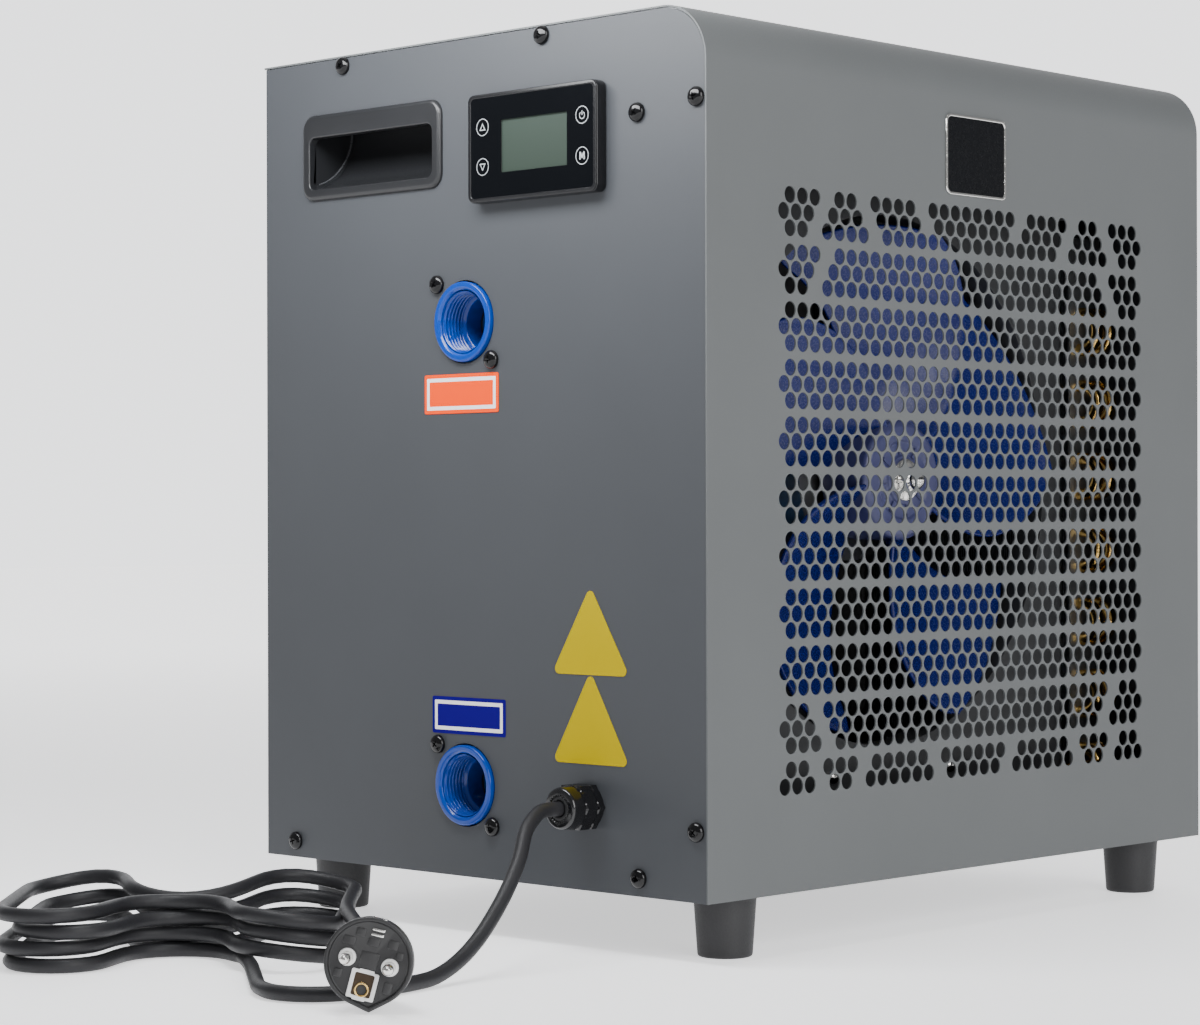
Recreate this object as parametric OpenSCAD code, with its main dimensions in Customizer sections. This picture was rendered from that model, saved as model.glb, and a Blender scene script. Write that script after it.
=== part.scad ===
// Small pool heat pump. A wrapped sheet-metal case stands on four rubber feet. An axial fan blows
// out through the punched grille, and water flows through an upright exchanger between two ports.
// +Z is up, the grille faces -Y, and the service panel with the ports and display faces -X.
// Inside the modules X runs from the service panel, Y from the grille and Z from the case bottom.

/* [Case] */
// Width of the case, service panel to right panel
case_w = 423; // [415:1:470]
// Depth of the case, grille to rear guard
case_d = 324; // [320:1:370]
// Height of the case without its feet
case_h = 430; // [424:1:480]
// Thickness of the cover, panel and guard sheet
sheet = 1; // [0.8:0.1:1.2]
// Outer radius of the bend between grille and top
wrap_r = 28; // [20:1:34]
// Outer radius of the bend at each side panel's rear edge
panel_bend_r = 2.5; // [2:0.5:4]
// Width of the flange that each side panel turns in at the rear
return_w = 30; // [24:1:36]
// Width of the fixing rails inside the wrapped cover
rail_w = 14; // [12:1:18]
// Gap between a side panel's edge and the wrapped cover
panel_gap = 0.4; // [0.2:0.1:0.8]
// Thickness of the base pan
pan_t = 1.2; // [1:0.1:2]
// Height of the base pan's upturned flanges
pan_flange_h = 20; // [16:1:20]

/* [Grille] */
// Diameter of a grille hole
hole_d = 8.3; // [7:0.1:9]
// Distance between holes along a row
hole_pitch = 9.52; // [9.2:0.02:9.8]
// Distance between rows inside a band of three
row_pitch = 8.14; // [8:0.02:8.6]
// Distance from one band of three rows to the next
band_pitch = 28.12; // [27.6:0.04:28.6]
// Height of the top row above the case bottom
grille_top_z = 341.5; // [338:0.5:346]
// Shift of the pattern from the middle of the front
grille_shift = -2.5; // [-6:0.5:6]

/* [Feet] */
// Height of a foot
foot_h = 30; // [24:1:40]
// Diameter of a foot where it meets the case
foot_top_d = 31; // [28:1:36]
// Diameter of a foot on the floor
foot_bottom_d = 27; // [24:1:30]
// Distance from a foot's middle to the case's side
foot_in_x = 37; // [30:1:42]
// Distance from a foot's middle to the case's front or rear
foot_in_y = 22; // [20:1:26]
// Diameter of a foot's screw
foot_screw_d = 6; // [5:0.5:8]

/* [Screws] */
// Diameter of a pan head
head_d = 9; // [8:0.5:10]
// Height of a pan head
head_h = 2.6; // [2:0.2:3]
// Diameter of a panel screw's shank
shank_d = 4; // [3:0.5:5]
// Length of a panel screw's shank
shank_l = 8; // [6:1:9]

/* [Handles] */
// Length of a handle's frame, front to rear
grip_w = 108; // [96:1:116]
// Height of a handle's frame
grip_h = 46; // [42:1:50]
// Distance from the front to a handle's middle
grip_y = 236; // [230:1:244]
// Distance from the case top down to a handle's middle
grip_drop = 53; // [50:1:56]
// Depth of the finger space
grip_depth = 40; // [34:1:44]
// Wall of a handle's cup
grip_wall = 2; // [1.5:0.5:2.5]

/* [Display] */
// Length of the display, front to rear
display_w = 90.5; // [84:0.5:96]
// Height of the display
display_h = 55; // [50:1:58]
// How far the display stands out of the panel
display_proud = 7.5; // [6:0.5:10]
// Distance from the front to the display's middle
display_y = 110.5; // [106:0.5:114]
// Distance from the case top down to the display's middle
display_drop = 59.5; // [56:0.5:64]
// Length of the liquid crystal window
lcd_w = 46.5; // [40:0.5:50]
// Height of the liquid crystal window
lcd_h = 26.5; // [22:0.5:30]

/* [Water ports] */
// Distance from the front to both ports
port_y = 166; // [162:1:170]
// Distance from the water exchanger's top down to the outlet port
outlet_drop = 34; // [28:1:42]
// Height of the inlet port
inlet_z = 47; // [46:1:54]
// Diameter of a port's thread, cut to the crest of a one inch pipe thread
thread_d = 30.3; // [26:0.1:32]
// Length of a port's thread
thread_l = 20; // [16:1:21]
// Diameter of a port's collar
collar_d = 42; // [41:0.5:44]
// How far a port's collar stands out of the panel
collar_proud = 3.5; // [2:0.5:5]
// Distance from a port to each of its screws, sideways and up
port_screw_in = 20; // [19:0.5:21]

/* [Cord] */
// Diameter of the mains cord
cord_d = 7.2; // [6:0.2:8]
// Diameter of the plug's face
plug_d = 38.8; // [37:0.2:40]
// Distance between the plug's pins
pin_pitch = 19; // [18:0.5:20]
// Distance across the flats of the gland
gland_af = 24; // [22:1:26]
// Distance from the front to the gland
gland_y = 79; // [76:1:84]
// Height of the gland
gland_z = 42; // [40:1:50]

/* [Fan] */
// Distance from the service panel to the fan's axis
fan_x = 181.5; // [178:0.5:184]
// Height of the fan's axis
fan_z = 203; // [198:1:206]
// Radius of the fan at its blade tips
fan_r = 134; // [120:1:135]
// Radius of the round opening around the fan
fan_ring_r = 139; // [137:1:141]
// Radius of the fan's hub
hub_r = 31.5; // [28:0.5:34]
// Length of the fan's hub
hub_l = 30; // [28:1:32]
// Number of fan blades
blades = 5; // [3:1:6]
// Diameter of the motor shaft
shaft_d = 8; // [6:1:10]
// Clearance around the shaft in its bearings
running_gap = 0.05; // [0.02:0.01:0.1]
// Radius of the fan motor
motor_r = 42.5; // [38:0.5:44]
// Length of the fan motor's shell
motor_l = 52; // [50:1:56]

/* [Refrigerant circuit] */
// Radius of the compressor
comp_r = 52; // [46:1:54]
// Height of the compressor
comp_h = 184; // [160:1:186]
// Radius of the accumulator beside the compressor
accu_r = 24; // [20:1:25]
// Radius of the water exchanger
exch_r = 45; // [40:1:46]
// Distance from the control box down to the water exchanger's top
exch_drop = 34; // [32:1:38]
// Thickness of the evaporator
evap_t = 26; // [22:1:28]
// Distance from the case's top down to the evaporator's top
evap_drop = 85; // [84:1:100]
// Diameter of a copper refrigerant pipe
pipe_d = 9.5; // [8:0.5:10]

/* [Hidden] */
$fn = 64;

// Overrun of every cut past the face it opens
cut = 1;
// Clearance between pieces that only have to pass each other
slip = 0.3;
// Clearance between pieces of one assembly that are pressed or cast together
snug = 0.05;

// Where the case's corner lies in the part's own frame
gland_flange_t = 6;
gland_nut_l = 9;
gland_dome_l = 6.5;
gland_gap = 0.3;
gland_lip = 0.7;
dome_x = -(gland_flange_t + gland_gap + gland_nut_l);
seal_front_x = dome_x - gland_dome_l - gland_lip;
case_x = -(seal_front_x + head_h + case_w) / 2;
badge_t = 1.2;
case_y = (badge_t - head_h - case_d) / 2;

// Grille: columns, rows in a band, and the holes left out of each row from the top and the bottom
grille_cols = 31;
grille_rows = 32;
band_rows = 3;
grille_w = grille_cols * hole_pitch;
left_out_top = [[3, 6, 11, 20, 25, 28], [3, 7, 12, 20, 25, 29], [2, 7, 24, 29], [3, 28], [3, 29], [2, 29]];
left_out_bottom = [[3, 6, 13, 19, 26, 29], [2, 6, 12, 19, 25, 29], [3, 28], [3, 29], [2, 29]];

// Case details
rear_guard_y = case_d - 2 * sheet;
pan_rear_y = case_d - panel_bend_r;
edge_z = sheet + panel_gap;
drain_d = 16;
slot_h = 5;
slot_w = 40;
slot_step_z = 15;
slot_step_y = 50;
slot_z = 45;
slot_y = 60;
side_slot_rows = 19;
side_slot_cols = 5;
guard_cols = 8;
guard_rows = 15;
guard_w = 38;
guard_h = 17;
guard_bar = 5;
guard_x = (case_w + guard_bar - guard_cols * (guard_w + guard_bar)) / 2;
guard_z = 30;
screw_hole_d = shank_d + 2 * slip;
cross_l_share = 0.55;
cross_w_share = 0.14;
cross_depth_share = 0.45;

// Screws on a side panel: distance from the front, height
plate_screw_y = 44.5;
plate_screw_drop = 50;
low_screw_z = 9;
low_screw_in = 25.5;
corner_screw_drop = 46;
top_screw_drop = 5.5;
rear_screw_z = 30;
rail_screws = [[6, case_h - corner_screw_drop], [7, 34], [109.5, case_h - top_screw_drop],
    [258.7, case_h - top_screw_drop]];
pan_screws = [[plate_screw_y, low_screw_z], [case_d - low_screw_in, low_screw_z]];
plate_screws = [[plate_screw_y, case_h - plate_screw_drop]];
rear_screws = [[return_w / 2, rear_screw_z], [return_w / 2, case_h / 2],
    [return_w / 2, case_h - rear_screw_z]];
grip_z = case_h - grip_drop;
display_z = case_h - display_drop;

// Fan, its plate and its motor, all along the axis from the front
plate_y = 35;
plate_w = 337;
plate_drop = 38;
plate_h = case_h - plate_drop;
plate_flange = 15;
ring_l = 18;
ring_t = 1.5;
hub_y = 24;
blade_front_y = 20;
blade_back_y = 56;
blade_t = 2.4;
blade_sweep = 26;
blade_span = 62;
blade_steps = 6;
chord_steps = 5;
blade_taper_share = 0.18;
blade_end_share = 0.12;
hub_wall = 3;
washer_t = 1.5;
washer_r = 11;
nut_r = 8;
nut_l = 8;
nut_flat_share = 0.67;
nut_top_share = 0.88;
nut_face_y = hub_y - washer_t - nut_l * nut_flat_share;
shaft_front_y = hub_y - washer_t - nut_l / 2;
motor_y = 60;
motor_wall = 2.5;
bearing_r = 11;
bearing_l = 7;
bearing_lip = 1.5;
seat_wall = 3;
seat_r = bearing_r + seat_wall;
bell_y = motor_y + motor_l;
bell_t = 3;
stator_r = motor_r - motor_wall - snug;
core_r = 24;
air_gap = 0.6;
stator_in = 16;
stator_y = motor_y + stator_in;
stator_l = 24;
bracket_y = bell_y + bell_t;
bracket_w = 70;
bracket_t = 1.5;
bracket_flange = 14;
bracket_foot = 35;
motor_screw_r = 20;

// Control box above the fan
box_x = 62;
box_right = 63;
box_w = case_w - box_x - box_right;
box_d = 196;
box_drop = 78;
box_z = case_h - box_drop;
box_h = 44;
exch_h = box_z - exch_drop;
outlet_z = exch_h - outlet_drop;
box_y = plate_y + sheet;
board_t = 1.6;
board_gap = 8;
board_w = 210;
board_d = 130;
board_in_x = 24;
board_in_y = 30;
board_x = box_x + board_in_x;
board_y = box_y + board_in_y;
board_z = box_z + sheet + board_gap;
standoff_r = 3;
board_inset = 8;
heatsink = [80, 50, 22];
relay = [19, 15, 16];
terminal = [60, 14, 14];
choke_r = 9;
choke_h = 16;

// Ports
port_bore_d = 26;
mouth_chamfer = 1.6;
lug_t = 4;
lug_r = 6;
port_end_x = 24;
port_tail_d = 38;
seal_t = 1.5;

// Handle frame and cup
grip_proud = 2.5;
grip_corner = 8;
grip_side_share = 0.052;
grip_lip_share = 0.27;
grip_low_share = 0.13;
grip_curl_share = 0.74;

// Badge, stickers and display
badge_w = 52;
badge_h = 42;
badge_drop = 58;
badge_z = case_h - badge_drop;
badge_corner = 4;
label_t = 0.3;
outlet_label = [54.6, 20.2];
inlet_label = [53.7, 19];
outlet_label_in = [2.4, -36.6];
inlet_label_in = [-2.6, 35.3];
outlet_label_at = [port_y, outlet_z] + outlet_label_in;
inlet_label_at = [port_y, inlet_z] + inlet_label_in;
label_corner = 1;
triangle_w = 48.7;
triangle_h = 41.6;
triangle_corner = 3.5;
triangle_y = 77;
triangle_zs = [106.4, 62.5];
display_wall = 2;
display_corner = 4;
display_rim = 2;
display_ledge_x = 5;
display_ledge_z = 4;
glass_t = 1.2;
glass_drop = 0.4;
display_back_d = 14;
lcd_shift_y = -1.8;
lcd_t = 3;

// Gland and the cable inside the case
gland_thread_d = 20;
gland_neck_d = 19;
gland_neck_l = 7;
gland_in_l = 10;
gland_seal_r = 6.8;
gland_bore_r = 6.9;
gland_mouth_r = 7;
locknut_t = 4.5;
seal_l = 12;
supply_x = 23;
supply_rise = 12;
supply_z = box_z + supply_rise;

// Exchanger, flow switch and paddle
exch_neck = 47.5;
exch_x = port_end_x + exch_neck;
exch_wall = 4;
exch_in_r = exch_r - exch_wall;
exch_floor = 7;
cap_t = 8;
exch_top = exch_h + pan_t;
boss_r = 23;
helix_r = 30;
helix_d = 10;
helix_turns = 10;
helix_step = 20;
helix_z = 28;
helix_angle = 60;
switch_in = 21.5;
switch_x = exch_x - switch_in;
switch_post = [8, 22];
switch_head = [30, 26, 18];
hinge_rise = 16;
hinge_z = outlet_z + hinge_rise;
hinge_d = 3;
barrel_r = 3.2;
ear_t = 2.7;
ear_low = 6;
paddle_t = 1.2;
paddle_l = 30;

// Evaporator: an L along the rear and the right side
evap_gap = 12;
evap_out_x = case_w - evap_gap;
evap_out_y = case_d - evap_gap;
evap_left_x = 62;
evap_front_y = 62;
evap_z = 12;
evap_h = case_h - evap_drop;
evap_corner_r = 30;
fin_pitch = 3;
fin_t = 0.6;
fin_core = 6;
fin_depth = (evap_t - fin_core) / 2;
fin_bend_steps = 6;
end_plate_t = 1.5;
end_plate_out = 2;
tube_d = 7;
tube_step = 21;
tube_first_z = 28;
tube_rows = floor((evap_h - tube_first_z) / (2 * tube_step));
tube_stub = 2.5;
header_d = 12;
header_out = 9;
col_in_share = 0.27;
col_out_share = 0.77;

// Compressor and accumulator
comp_z = 16;
comp_dome = 20;
comp_plate_t = 3;
comp_foot_r = 62;
comp_lobe_r = 14;
grommet_r = 12;
grommet_neck_r = 8;
stud_d = 6;
stud_nut_af = 11;
stud_nut_h = 6;
terminal_r = 18;
terminal_h = 16;
stub_l = 6;
stub_wall = 1;
stub_d = pipe_d + 2 * stub_wall;
accu_gap = 2;
accu_side = 13;
comp_rear = 9;
comp_x = evap_out_x - evap_t - accu_side - 2 * accu_r - accu_gap - comp_r;
comp_y = evap_out_y - evap_t - comp_rear - comp_foot_r;
accu_x = comp_x + comp_r + accu_r + accu_gap;
accu_z = 62;
accu_h = 122;
accu_dome = 10;
strap_h = 14;
strap_w = 30;
strap_z = 110;

// Plug: the middle of its face, its heading and its roll
plug_x = -399.5;
plug_y = -143;
plug_lift = 0.1;
plug_z = plug_d / 2 + plug_lift;
plug_turn = 226;
plug_roll = -13;
plug_rim_l = 13;
plug_rim_h = 1;
plug_rim_t = 1.6;
plug_grip_r = 12;
plug_grip_x = 27;
plug_neck_r = 5.2;
plug_neck_x = 34;
plug_end_x = 48;
plug_sleeve_t = 0.4;
pin_d = 4.8;
pin_l = 19;
sleeve_l = 9;
sleeve_d = 6.4;
earth_pitch = 10;
earth_d = 4.9;
earth_frame = 11.5;
earth_depth = 12;
clip_w = 7;
clip_t = 1;
clip_l = 11;

// Cord route outside the coils, a ring at each point
lead_points = [[-238.5, -85, 70], [-249.5, -89, 62], [-259.5, -94, 51], [-270.5, -98, 39.5],
    [-283.5, -101.5, 28], [-297.5, -104.5, 17.5], [-312.5, -107, 9.5], [-328.5, -109.5, 4.6],
    [-343.5, -111, 3.6], [-358.5, -112, 3.6], [-373.5, -112, 3.6], [-388.5, -108, 3.6],
    [-399.5, -98, 3.6], [-403.5, -84, 3.6], [-398.5, -69, 3.6], [-389.5, -56, 3.6], [-380.5, -44, 3.6],
    [-371.5, -32, 3.6], [-362.5, -20, 3.6], [-353.5, -7, 3.6], [-346.5, 4, 3.6]];
tail_points = [[-307.5, -25, 26.6], [-316.5, -37, 25.6], [-325.5, -51, 24.2], [-334.5, -65, 22.6],
    [-343.5, -79, 21], [-352.5, -91, 19.9]];

// Hank: plan of one loop by arcs, from the waist to the end of a lobe
hank_x = -344.5;
hank_y = 53;
hank_turn = -46;
hank_half_l = 81;
hank_waist = 5;
hank_waist_r = 30;
hank_lobe_r = 24;
hank_lean = 74;
hank_step = 7.8;
hank_rings = 24;
hank_sides = 6;
hank_from = 0.2;
hank_to = 4;
hank_draw_share = 0.1;
hank_soft = 40;
hank_climb = [0.03, 0.15];
cord_sides = 8;

// Places that follow from the sizes above
quarter_turn = 90;
look_share = 0.01;
waist_end = [hank_waist_r * sin(hank_lean), hank_waist + hank_waist_r * (1 - cos(hank_lean))];
flank_l = (hank_half_l - hank_lobe_r * (1 + sin(hank_lean)) - waist_end[0]) / cos(hank_lean);
flank_end = waist_end + flank_l * [cos(hank_lean), sin(hank_lean)];
lobe_mid = flank_end + hank_lobe_r * [sin(hank_lean), -cos(hank_lean)];
arc_ls = [hank_waist_r * hank_lean * PI / 180, flank_l, hank_lobe_r * (hank_lean + quarter_turn) * PI / 180,
    lobe_mid[1]];
quarter_l = arc_ls[0] + arc_ls[1] + arc_ls[2] + arc_ls[3];

// One quarter of the loop's plan at a run of s from the waist
function quarter(s) =
    s < arc_ls[0] ? let (a = s / hank_waist_r * 180 / PI)
        [hank_waist_r * sin(a), hank_waist + hank_waist_r * (1 - cos(a))]
    : s < arc_ls[0] + arc_ls[1] ? waist_end + (s - arc_ls[0]) * [cos(hank_lean), sin(hank_lean)]
    : s < quarter_l - arc_ls[3] ? let (a = hank_lean - (s - arc_ls[0] - arc_ls[1]) / hank_lobe_r * 180 / PI)
        lobe_mid + hank_lobe_r * [-sin(a), cos(a)]
    : [hank_half_l, quarter_l - s];

// The loop's plan at u loops from the right end, near side first
function loop_plan(u) = let (f = (u - floor(u)) * 4, k = floor(f), r = f - k)
    k == 0 ? let (p = quarter(quarter_l * (1 - r))) [p[0], -p[1]]
    : k == 1 ? let (p = quarter(quarter_l * r)) [-p[0], -p[1]]
    : k == 2 ? let (p = quarter(quarter_l * (1 - r))) [-p[0], p[1]]
    : quarter(quarter_l * r);

function ease(v) = let (c = min(max(v, 0), 1)) c * c * (3 - 2 * c);
function drawn_in(u) = hank_draw_share * (1 - abs(u - hank_to / 2) / (hank_to / 2));
function layer(u) = max(0, floor(u) - 1
    + ease((u - floor(u) - hank_climb[0]) / (hank_climb[1] - hank_climb[0])));
function hank_point(u) = let (p = loop_plan(u), k = drawn_in(u),
        x = p[0] * (1 - k), y = p[1] * (1 - k * ease(abs(p[0]) / hank_soft)))
    [hank_x + x * cos(hank_turn) - y * sin(hank_turn), hank_y + x * sin(hank_turn) + y * cos(hank_turn),
        cord_d / 2 + hank_step * (u < hank_to ? layer(u) : layer(hank_to - 1 + hank_climb[1]))];

function unit(v) = v / norm(v);
hank_in = unit(hank_point(hank_from + look_share) - hank_point(hank_from));
hank_out = unit(hank_point(hank_to - look_share) - hank_point(hank_to - 2 * look_share));
hank_first = ceil(hank_from * hank_rings) / hank_rings;
hank_last = hank_to - 1 / hank_rings;
hank_run = [for (i = [0:round((hank_last - hank_first) * hank_rings)])
    hank_point(hank_first + i / hank_rings)];
hank_start = hank_run[0];
hank_end = hank_run[len(hank_run) - 1] + 2 * cord_d * hank_out;
hank_path = concat([hank_start - cord_d * hank_in], hank_run, [hank_end]);

// Ends of the cord's free stretches, straight and square to what they meet
gland_exit = [case_x + seal_front_x, case_y + gland_y, foot_h + gland_z];
lead_end = hank_path[0];
lead_path = concat([gland_exit, gland_exit - [cord_d, 0, 0]], lead_points,
    [lead_end - cord_d * hank_in, lead_end]);
plug_axis = [cos(plug_turn), sin(plug_turn), 0];
plug_tail = [plug_x, plug_y, plug_z] - plug_end_x * plug_axis;
tail_path = concat([hank_end, hank_end + cord_d * hank_out], tail_points,
    [plug_tail - cord_d * plug_axis, plug_tail]);

// Tube around a path: directions, side vectors carried along without twist, rings and faces
function heading(p, i) = unit(p[min(i + 1, len(p) - 1)] - p[max(i - 1, 0)]);
function side_vectors(p, i = 0, n = [0.01, 0.02, 1]) = i == len(p) ? []
    : let (t = heading(p, i), m = unit(n - (n * t) * t)) concat([m], side_vectors(p, i + 1, m));
function ring_points(p, r, sides) = let (n = side_vectors(p))
    [for (i = [0:len(p) - 1]) let (b = cross(heading(p, i), n[i]))
        for (j = [0:sides - 1]) p[i] + r * (cos(360 * j / sides) * n[i] + sin(360 * j / sides) * b)];
function tube_faces(rings, sides) = concat(
    [for (i = [0:rings - 2]) for (j = [0:sides - 1]) let (k = (j + 1) % sides)
        each [[i * sides + j, (i + 1) * sides + j, (i + 1) * sides + k],
            [i * sides + j, (i + 1) * sides + k, i * sides + k]]],
    [for (j = [1:sides - 2]) [0, j, j + 1]],
    [for (j = [1:sides - 2]) [(rings - 1) * sides, (rings - 1) * sides + j + 1, (rings - 1) * sides + j]]);

// A path with each inner corner rounded
function corner(a, b, c, r) = let (u = unit(a - b), v = unit(c - b), half = acos(u * v) / 2,
    d = r / tan(half),
        m = b + unit(u + v) * r / sin(half))
    [for (k = [0:3]) let (w = (b + u * d - m) * sin((180 - 2 * half) * (1 - k / 3))
        + (b + v * d - m) * sin((180 - 2 * half) * k / 3)) m + w / sin(180 - 2 * half)];
function rounded(p, r) = [p[0], for (i = [1:len(p) - 2]) each corner(p[i - 1], p[i], p[i + 1], r),
    p[len(p) - 1]];

// Least gap of the hank to itself, measured between its rings more than three diameters apart
hank_apart = min([for (i = [0:len(hank_run) - 1]) for (j = [i + 3:1:len(hank_run) - 1])
    norm(hank_run[i] - hank_run[j])]) - cord_d;
function path_length(p, i = 1) = i >= len(p) ? 0 : norm(p[i] - p[i - 1]) + path_length(p, i + 1);
echo(least_gap_of_hank = hank_apart);
echo(cord_length = path_length(lead_path) + path_length(hank_path) + path_length(tail_path));

module in_case() translate([case_x, case_y, foot_h]) children();
module along_x(x, l) translate([x, 0, 0]) rotate([90, 0, 90]) linear_extrude(l) children();
module along_y(y, l) translate([0, y + l, 0]) rotate([90, 0, 0]) linear_extrude(l) children();
module along_z(z, l) translate([0, 0, z]) linear_extrude(l) children();
module rod_x(at, r, l) translate(at) rotate([0, 90, 0]) cylinder(r = r, h = l);
module rod_y(at, r, l) translate(at) rotate([-90, 0, 0]) cylinder(r = r, h = l);
module block(at, size) translate(at) cube(size);
module tube(path, d, sides) polyhedron(ring_points(path, d / 2, sides), tube_faces(len(path), sides),
    convexity = 10);
module hexagon(af) circle(r = af / sqrt(3), $fn = 6);

// Rectangle about its middle with round corners
module round_rect(w, h, r) {
    square([w - 2 * r, h], center = true);
    square([w, h - 2 * r], center = true);
    for (x = [-1, 1], y = [-1, 1]) translate([x * (w / 2 - r), y * (h / 2 - r)]) circle(r = r, $fn = 32);
}

// Slot with round ends, its left end at x = 0
module slot(w, h) {
    translate([h / 2, -h / 2]) square([w - h, h]);
    for (x = [h / 2, w - h / 2]) translate([x, 0]) circle(d = h, $fn = 24);
}

// Side view of everything that lies at least this far inside the wrapped cover
module inside_wrap(inset) {
    translate([inset, 0]) square([case_d - inset, case_h - wrap_r]);
    translate([wrap_r, 0]) square([case_d - wrap_r, case_h - inset]);
    translate([wrap_r, case_h - wrap_r]) circle(r = wrap_r - inset);
}

// Pan head screw: the head stands on z = 0 and the shank points down
module pan_screw(l = shank_l) {
    difference() {
        union() {
            cylinder(d = head_d, h = head_h / 2);
            translate([0, 0, head_h / 2]) cylinder(d1 = head_d, d2 = head_d * (1 - cross_w_share * 2),
                h = head_h / 2);
        }
        for (a = [0, 90]) rotate(a)
            translate([-head_d * cross_l_share / 2, -head_d * cross_w_share / 2,
                head_h * (1 - cross_depth_share)])
                cube([head_d * cross_l_share, head_d * cross_w_share, head_h]);
    }
    translate([0, 0, -l]) cylinder(d = shank_d, h = l);
}

module base_pan() color("dimgray") in_case() {
    inner_w = case_w - 2 * sheet;
    inner_d = pan_rear_y - sheet;
    difference() {
        block([sheet, sheet, 0], [inner_w, inner_d, pan_flange_h]);
        block([sheet + pan_t, sheet + pan_t, pan_t],
            [inner_w - 2 * pan_t, inner_d - 2 * pan_t, pan_flange_h]);
        for (p = foot_places()) translate([p[0], p[1], -cut])
            cylinder(d = foot_screw_d + 2 * slip, h = pan_t + 2 * cut);
        translate([case_w / 2, case_d * 3 / 4, -cut]) cylinder(d = drain_d, h = pan_t + 2 * cut);
        for (p = pan_screws) {
            rod_x([0, p[0], p[1]], screw_hole_d / 2, sheet + pan_t + cut);
            rod_x([case_w - sheet - pan_t - cut, p[0], p[1]], screw_hole_d / 2, sheet + pan_t + cut);
        }
    }
}

function foot_places() = [for (x = [foot_in_x, case_w - foot_in_x], y = [foot_in_y, case_d - foot_in_y])
    [x, y]];
function row_z(r) = grille_top_z - floor(r / band_rows) * band_pitch - (r % band_rows) * row_pitch;
function staggered(r) = r % band_rows == 1;
function left_out(r) = r < len(left_out_top) ? left_out_top[r]
    : grille_rows - 1 - r < len(left_out_bottom) ? left_out_bottom[grille_rows - 1 - r] : [];

module grille_holes() {
    x0 = (case_w - grille_w) / 2 + grille_shift;
    for (r = [0:grille_rows - 1], i = [0:grille_cols + (staggered(r) ? 1 : 0)])
        if (len(search(i, left_out(r))) == 0)
            translate([x0 + (i - (staggered(r) ? 1 / 2 : 0)) * hole_pitch, row_z(r)])
                circle(d = hole_d, $fn = 24);
}

module fixing_rail() difference() {
    inside_wrap(sheet);
    inside_wrap(sheet + rail_w);
    square([case_d, pan_flange_h + slip]);
    translate([rear_guard_y - slip, 0]) square([case_d, case_h]);
    for (p = rail_screws) translate(p) circle(d = screw_hole_d);
}

module wrap_cover() color("gray") in_case() {
    along_y(0, sheet) difference() {
        square([case_w, case_h - wrap_r]);
        grille_holes();
    }
    along_x(0, case_w) difference() {
        inside_wrap(0);
        inside_wrap(sheet);
        square([wrap_r, case_h - wrap_r]);
        square([case_d + cut, case_h / 2]);
    }
    along_x(sheet, sheet) fixing_rail();
    along_x(case_w - 2 * sheet, sheet) fixing_rail();
}

module side_outline() difference() {
    inside_wrap(edge_z);
    translate([case_d - panel_bend_r, 0]) square([case_d, case_h + cut]);
}

module side_cutouts(screws) {
    for (p = screws) translate(p) circle(d = screw_hole_d);
    translate([grip_y, grip_z]) round_rect(grip_cup_w() + 2 * slip, grip_cup_h() + 2 * slip, grip_wall);
}

// Return flange at a side panel's rear edge, seen from above, with its bend
module rear_return() {
    translate([panel_bend_r, case_d - sheet]) square([return_w - panel_bend_r, sheet]);
    translate([panel_bend_r, case_d - panel_bend_r]) difference() {
        circle(r = panel_bend_r);
        circle(r = panel_bend_r - sheet);
        translate([0, -panel_bend_r - cut]) square(2 * (panel_bend_r + cut));
        translate([-panel_bend_r - cut, -panel_bend_r - cut])
            square([2 * (panel_bend_r + cut), panel_bend_r + cut]);
    }
}

module rear_return_sheet() difference() {
    along_z(0, case_h - edge_z) rear_return();
    for (p = rear_screws) rod_y([p[0], case_d - sheet - cut, p[1]], screw_hole_d / 2, sheet + 2 * cut);
}

module service_panel() color("slategray") in_case() {
    along_x(0, sheet) difference() {
        side_outline();
        side_cutouts(concat(rail_screws, pan_screws, plate_screws));
        translate([display_y, display_z])
            round_rect(display_back_w() + 2 * slip, display_back_h() + 2 * slip, display_wall);
        translate([gland_y, gland_z]) circle(d = gland_thread_d + 2 * slip);
        for (z = [outlet_z, inlet_z]) translate([port_y, z]) {
            circle(d = collar_d + 2 * slip);
            for (k = [-1, 1]) translate(k * port_screw_in * [1, 1]) circle(d = screw_hole_d);
        }
    }
    rear_return_sheet();
}

module right_panel() color("slategray") in_case() {
    along_x(case_w - sheet, sheet) difference() {
        side_outline();
        side_cutouts(concat(rail_screws, pan_screws));
        for (i = [0:side_slot_cols - 1], k = [0:side_slot_rows - 1])
            translate([slot_y + i * slot_step_y, slot_z + k * slot_step_z]) slot(slot_w, slot_h);
    }
    translate([case_w, 0, 0]) mirror([1, 0, 0]) rear_return_sheet();
}

module rear_guard() color("gray") in_case() difference() {
    along_y(rear_guard_y, sheet) difference() {
        translate([panel_bend_r, 0]) square([case_w - 2 * panel_bend_r, case_h - edge_z]);
        for (i = [0:guard_cols - 1], k = [0:guard_rows - 1])
            translate([guard_x + i * (guard_w + guard_bar), guard_z + k * (guard_h + guard_bar)])
                square([guard_w, guard_h]);
    }
    for (p = rear_screws, x = [p[0], case_w - p[0]])
        rod_y([x, rear_guard_y - cut, p[1]], screw_hole_d / 2, sheet + 2 * cut);
}

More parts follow.
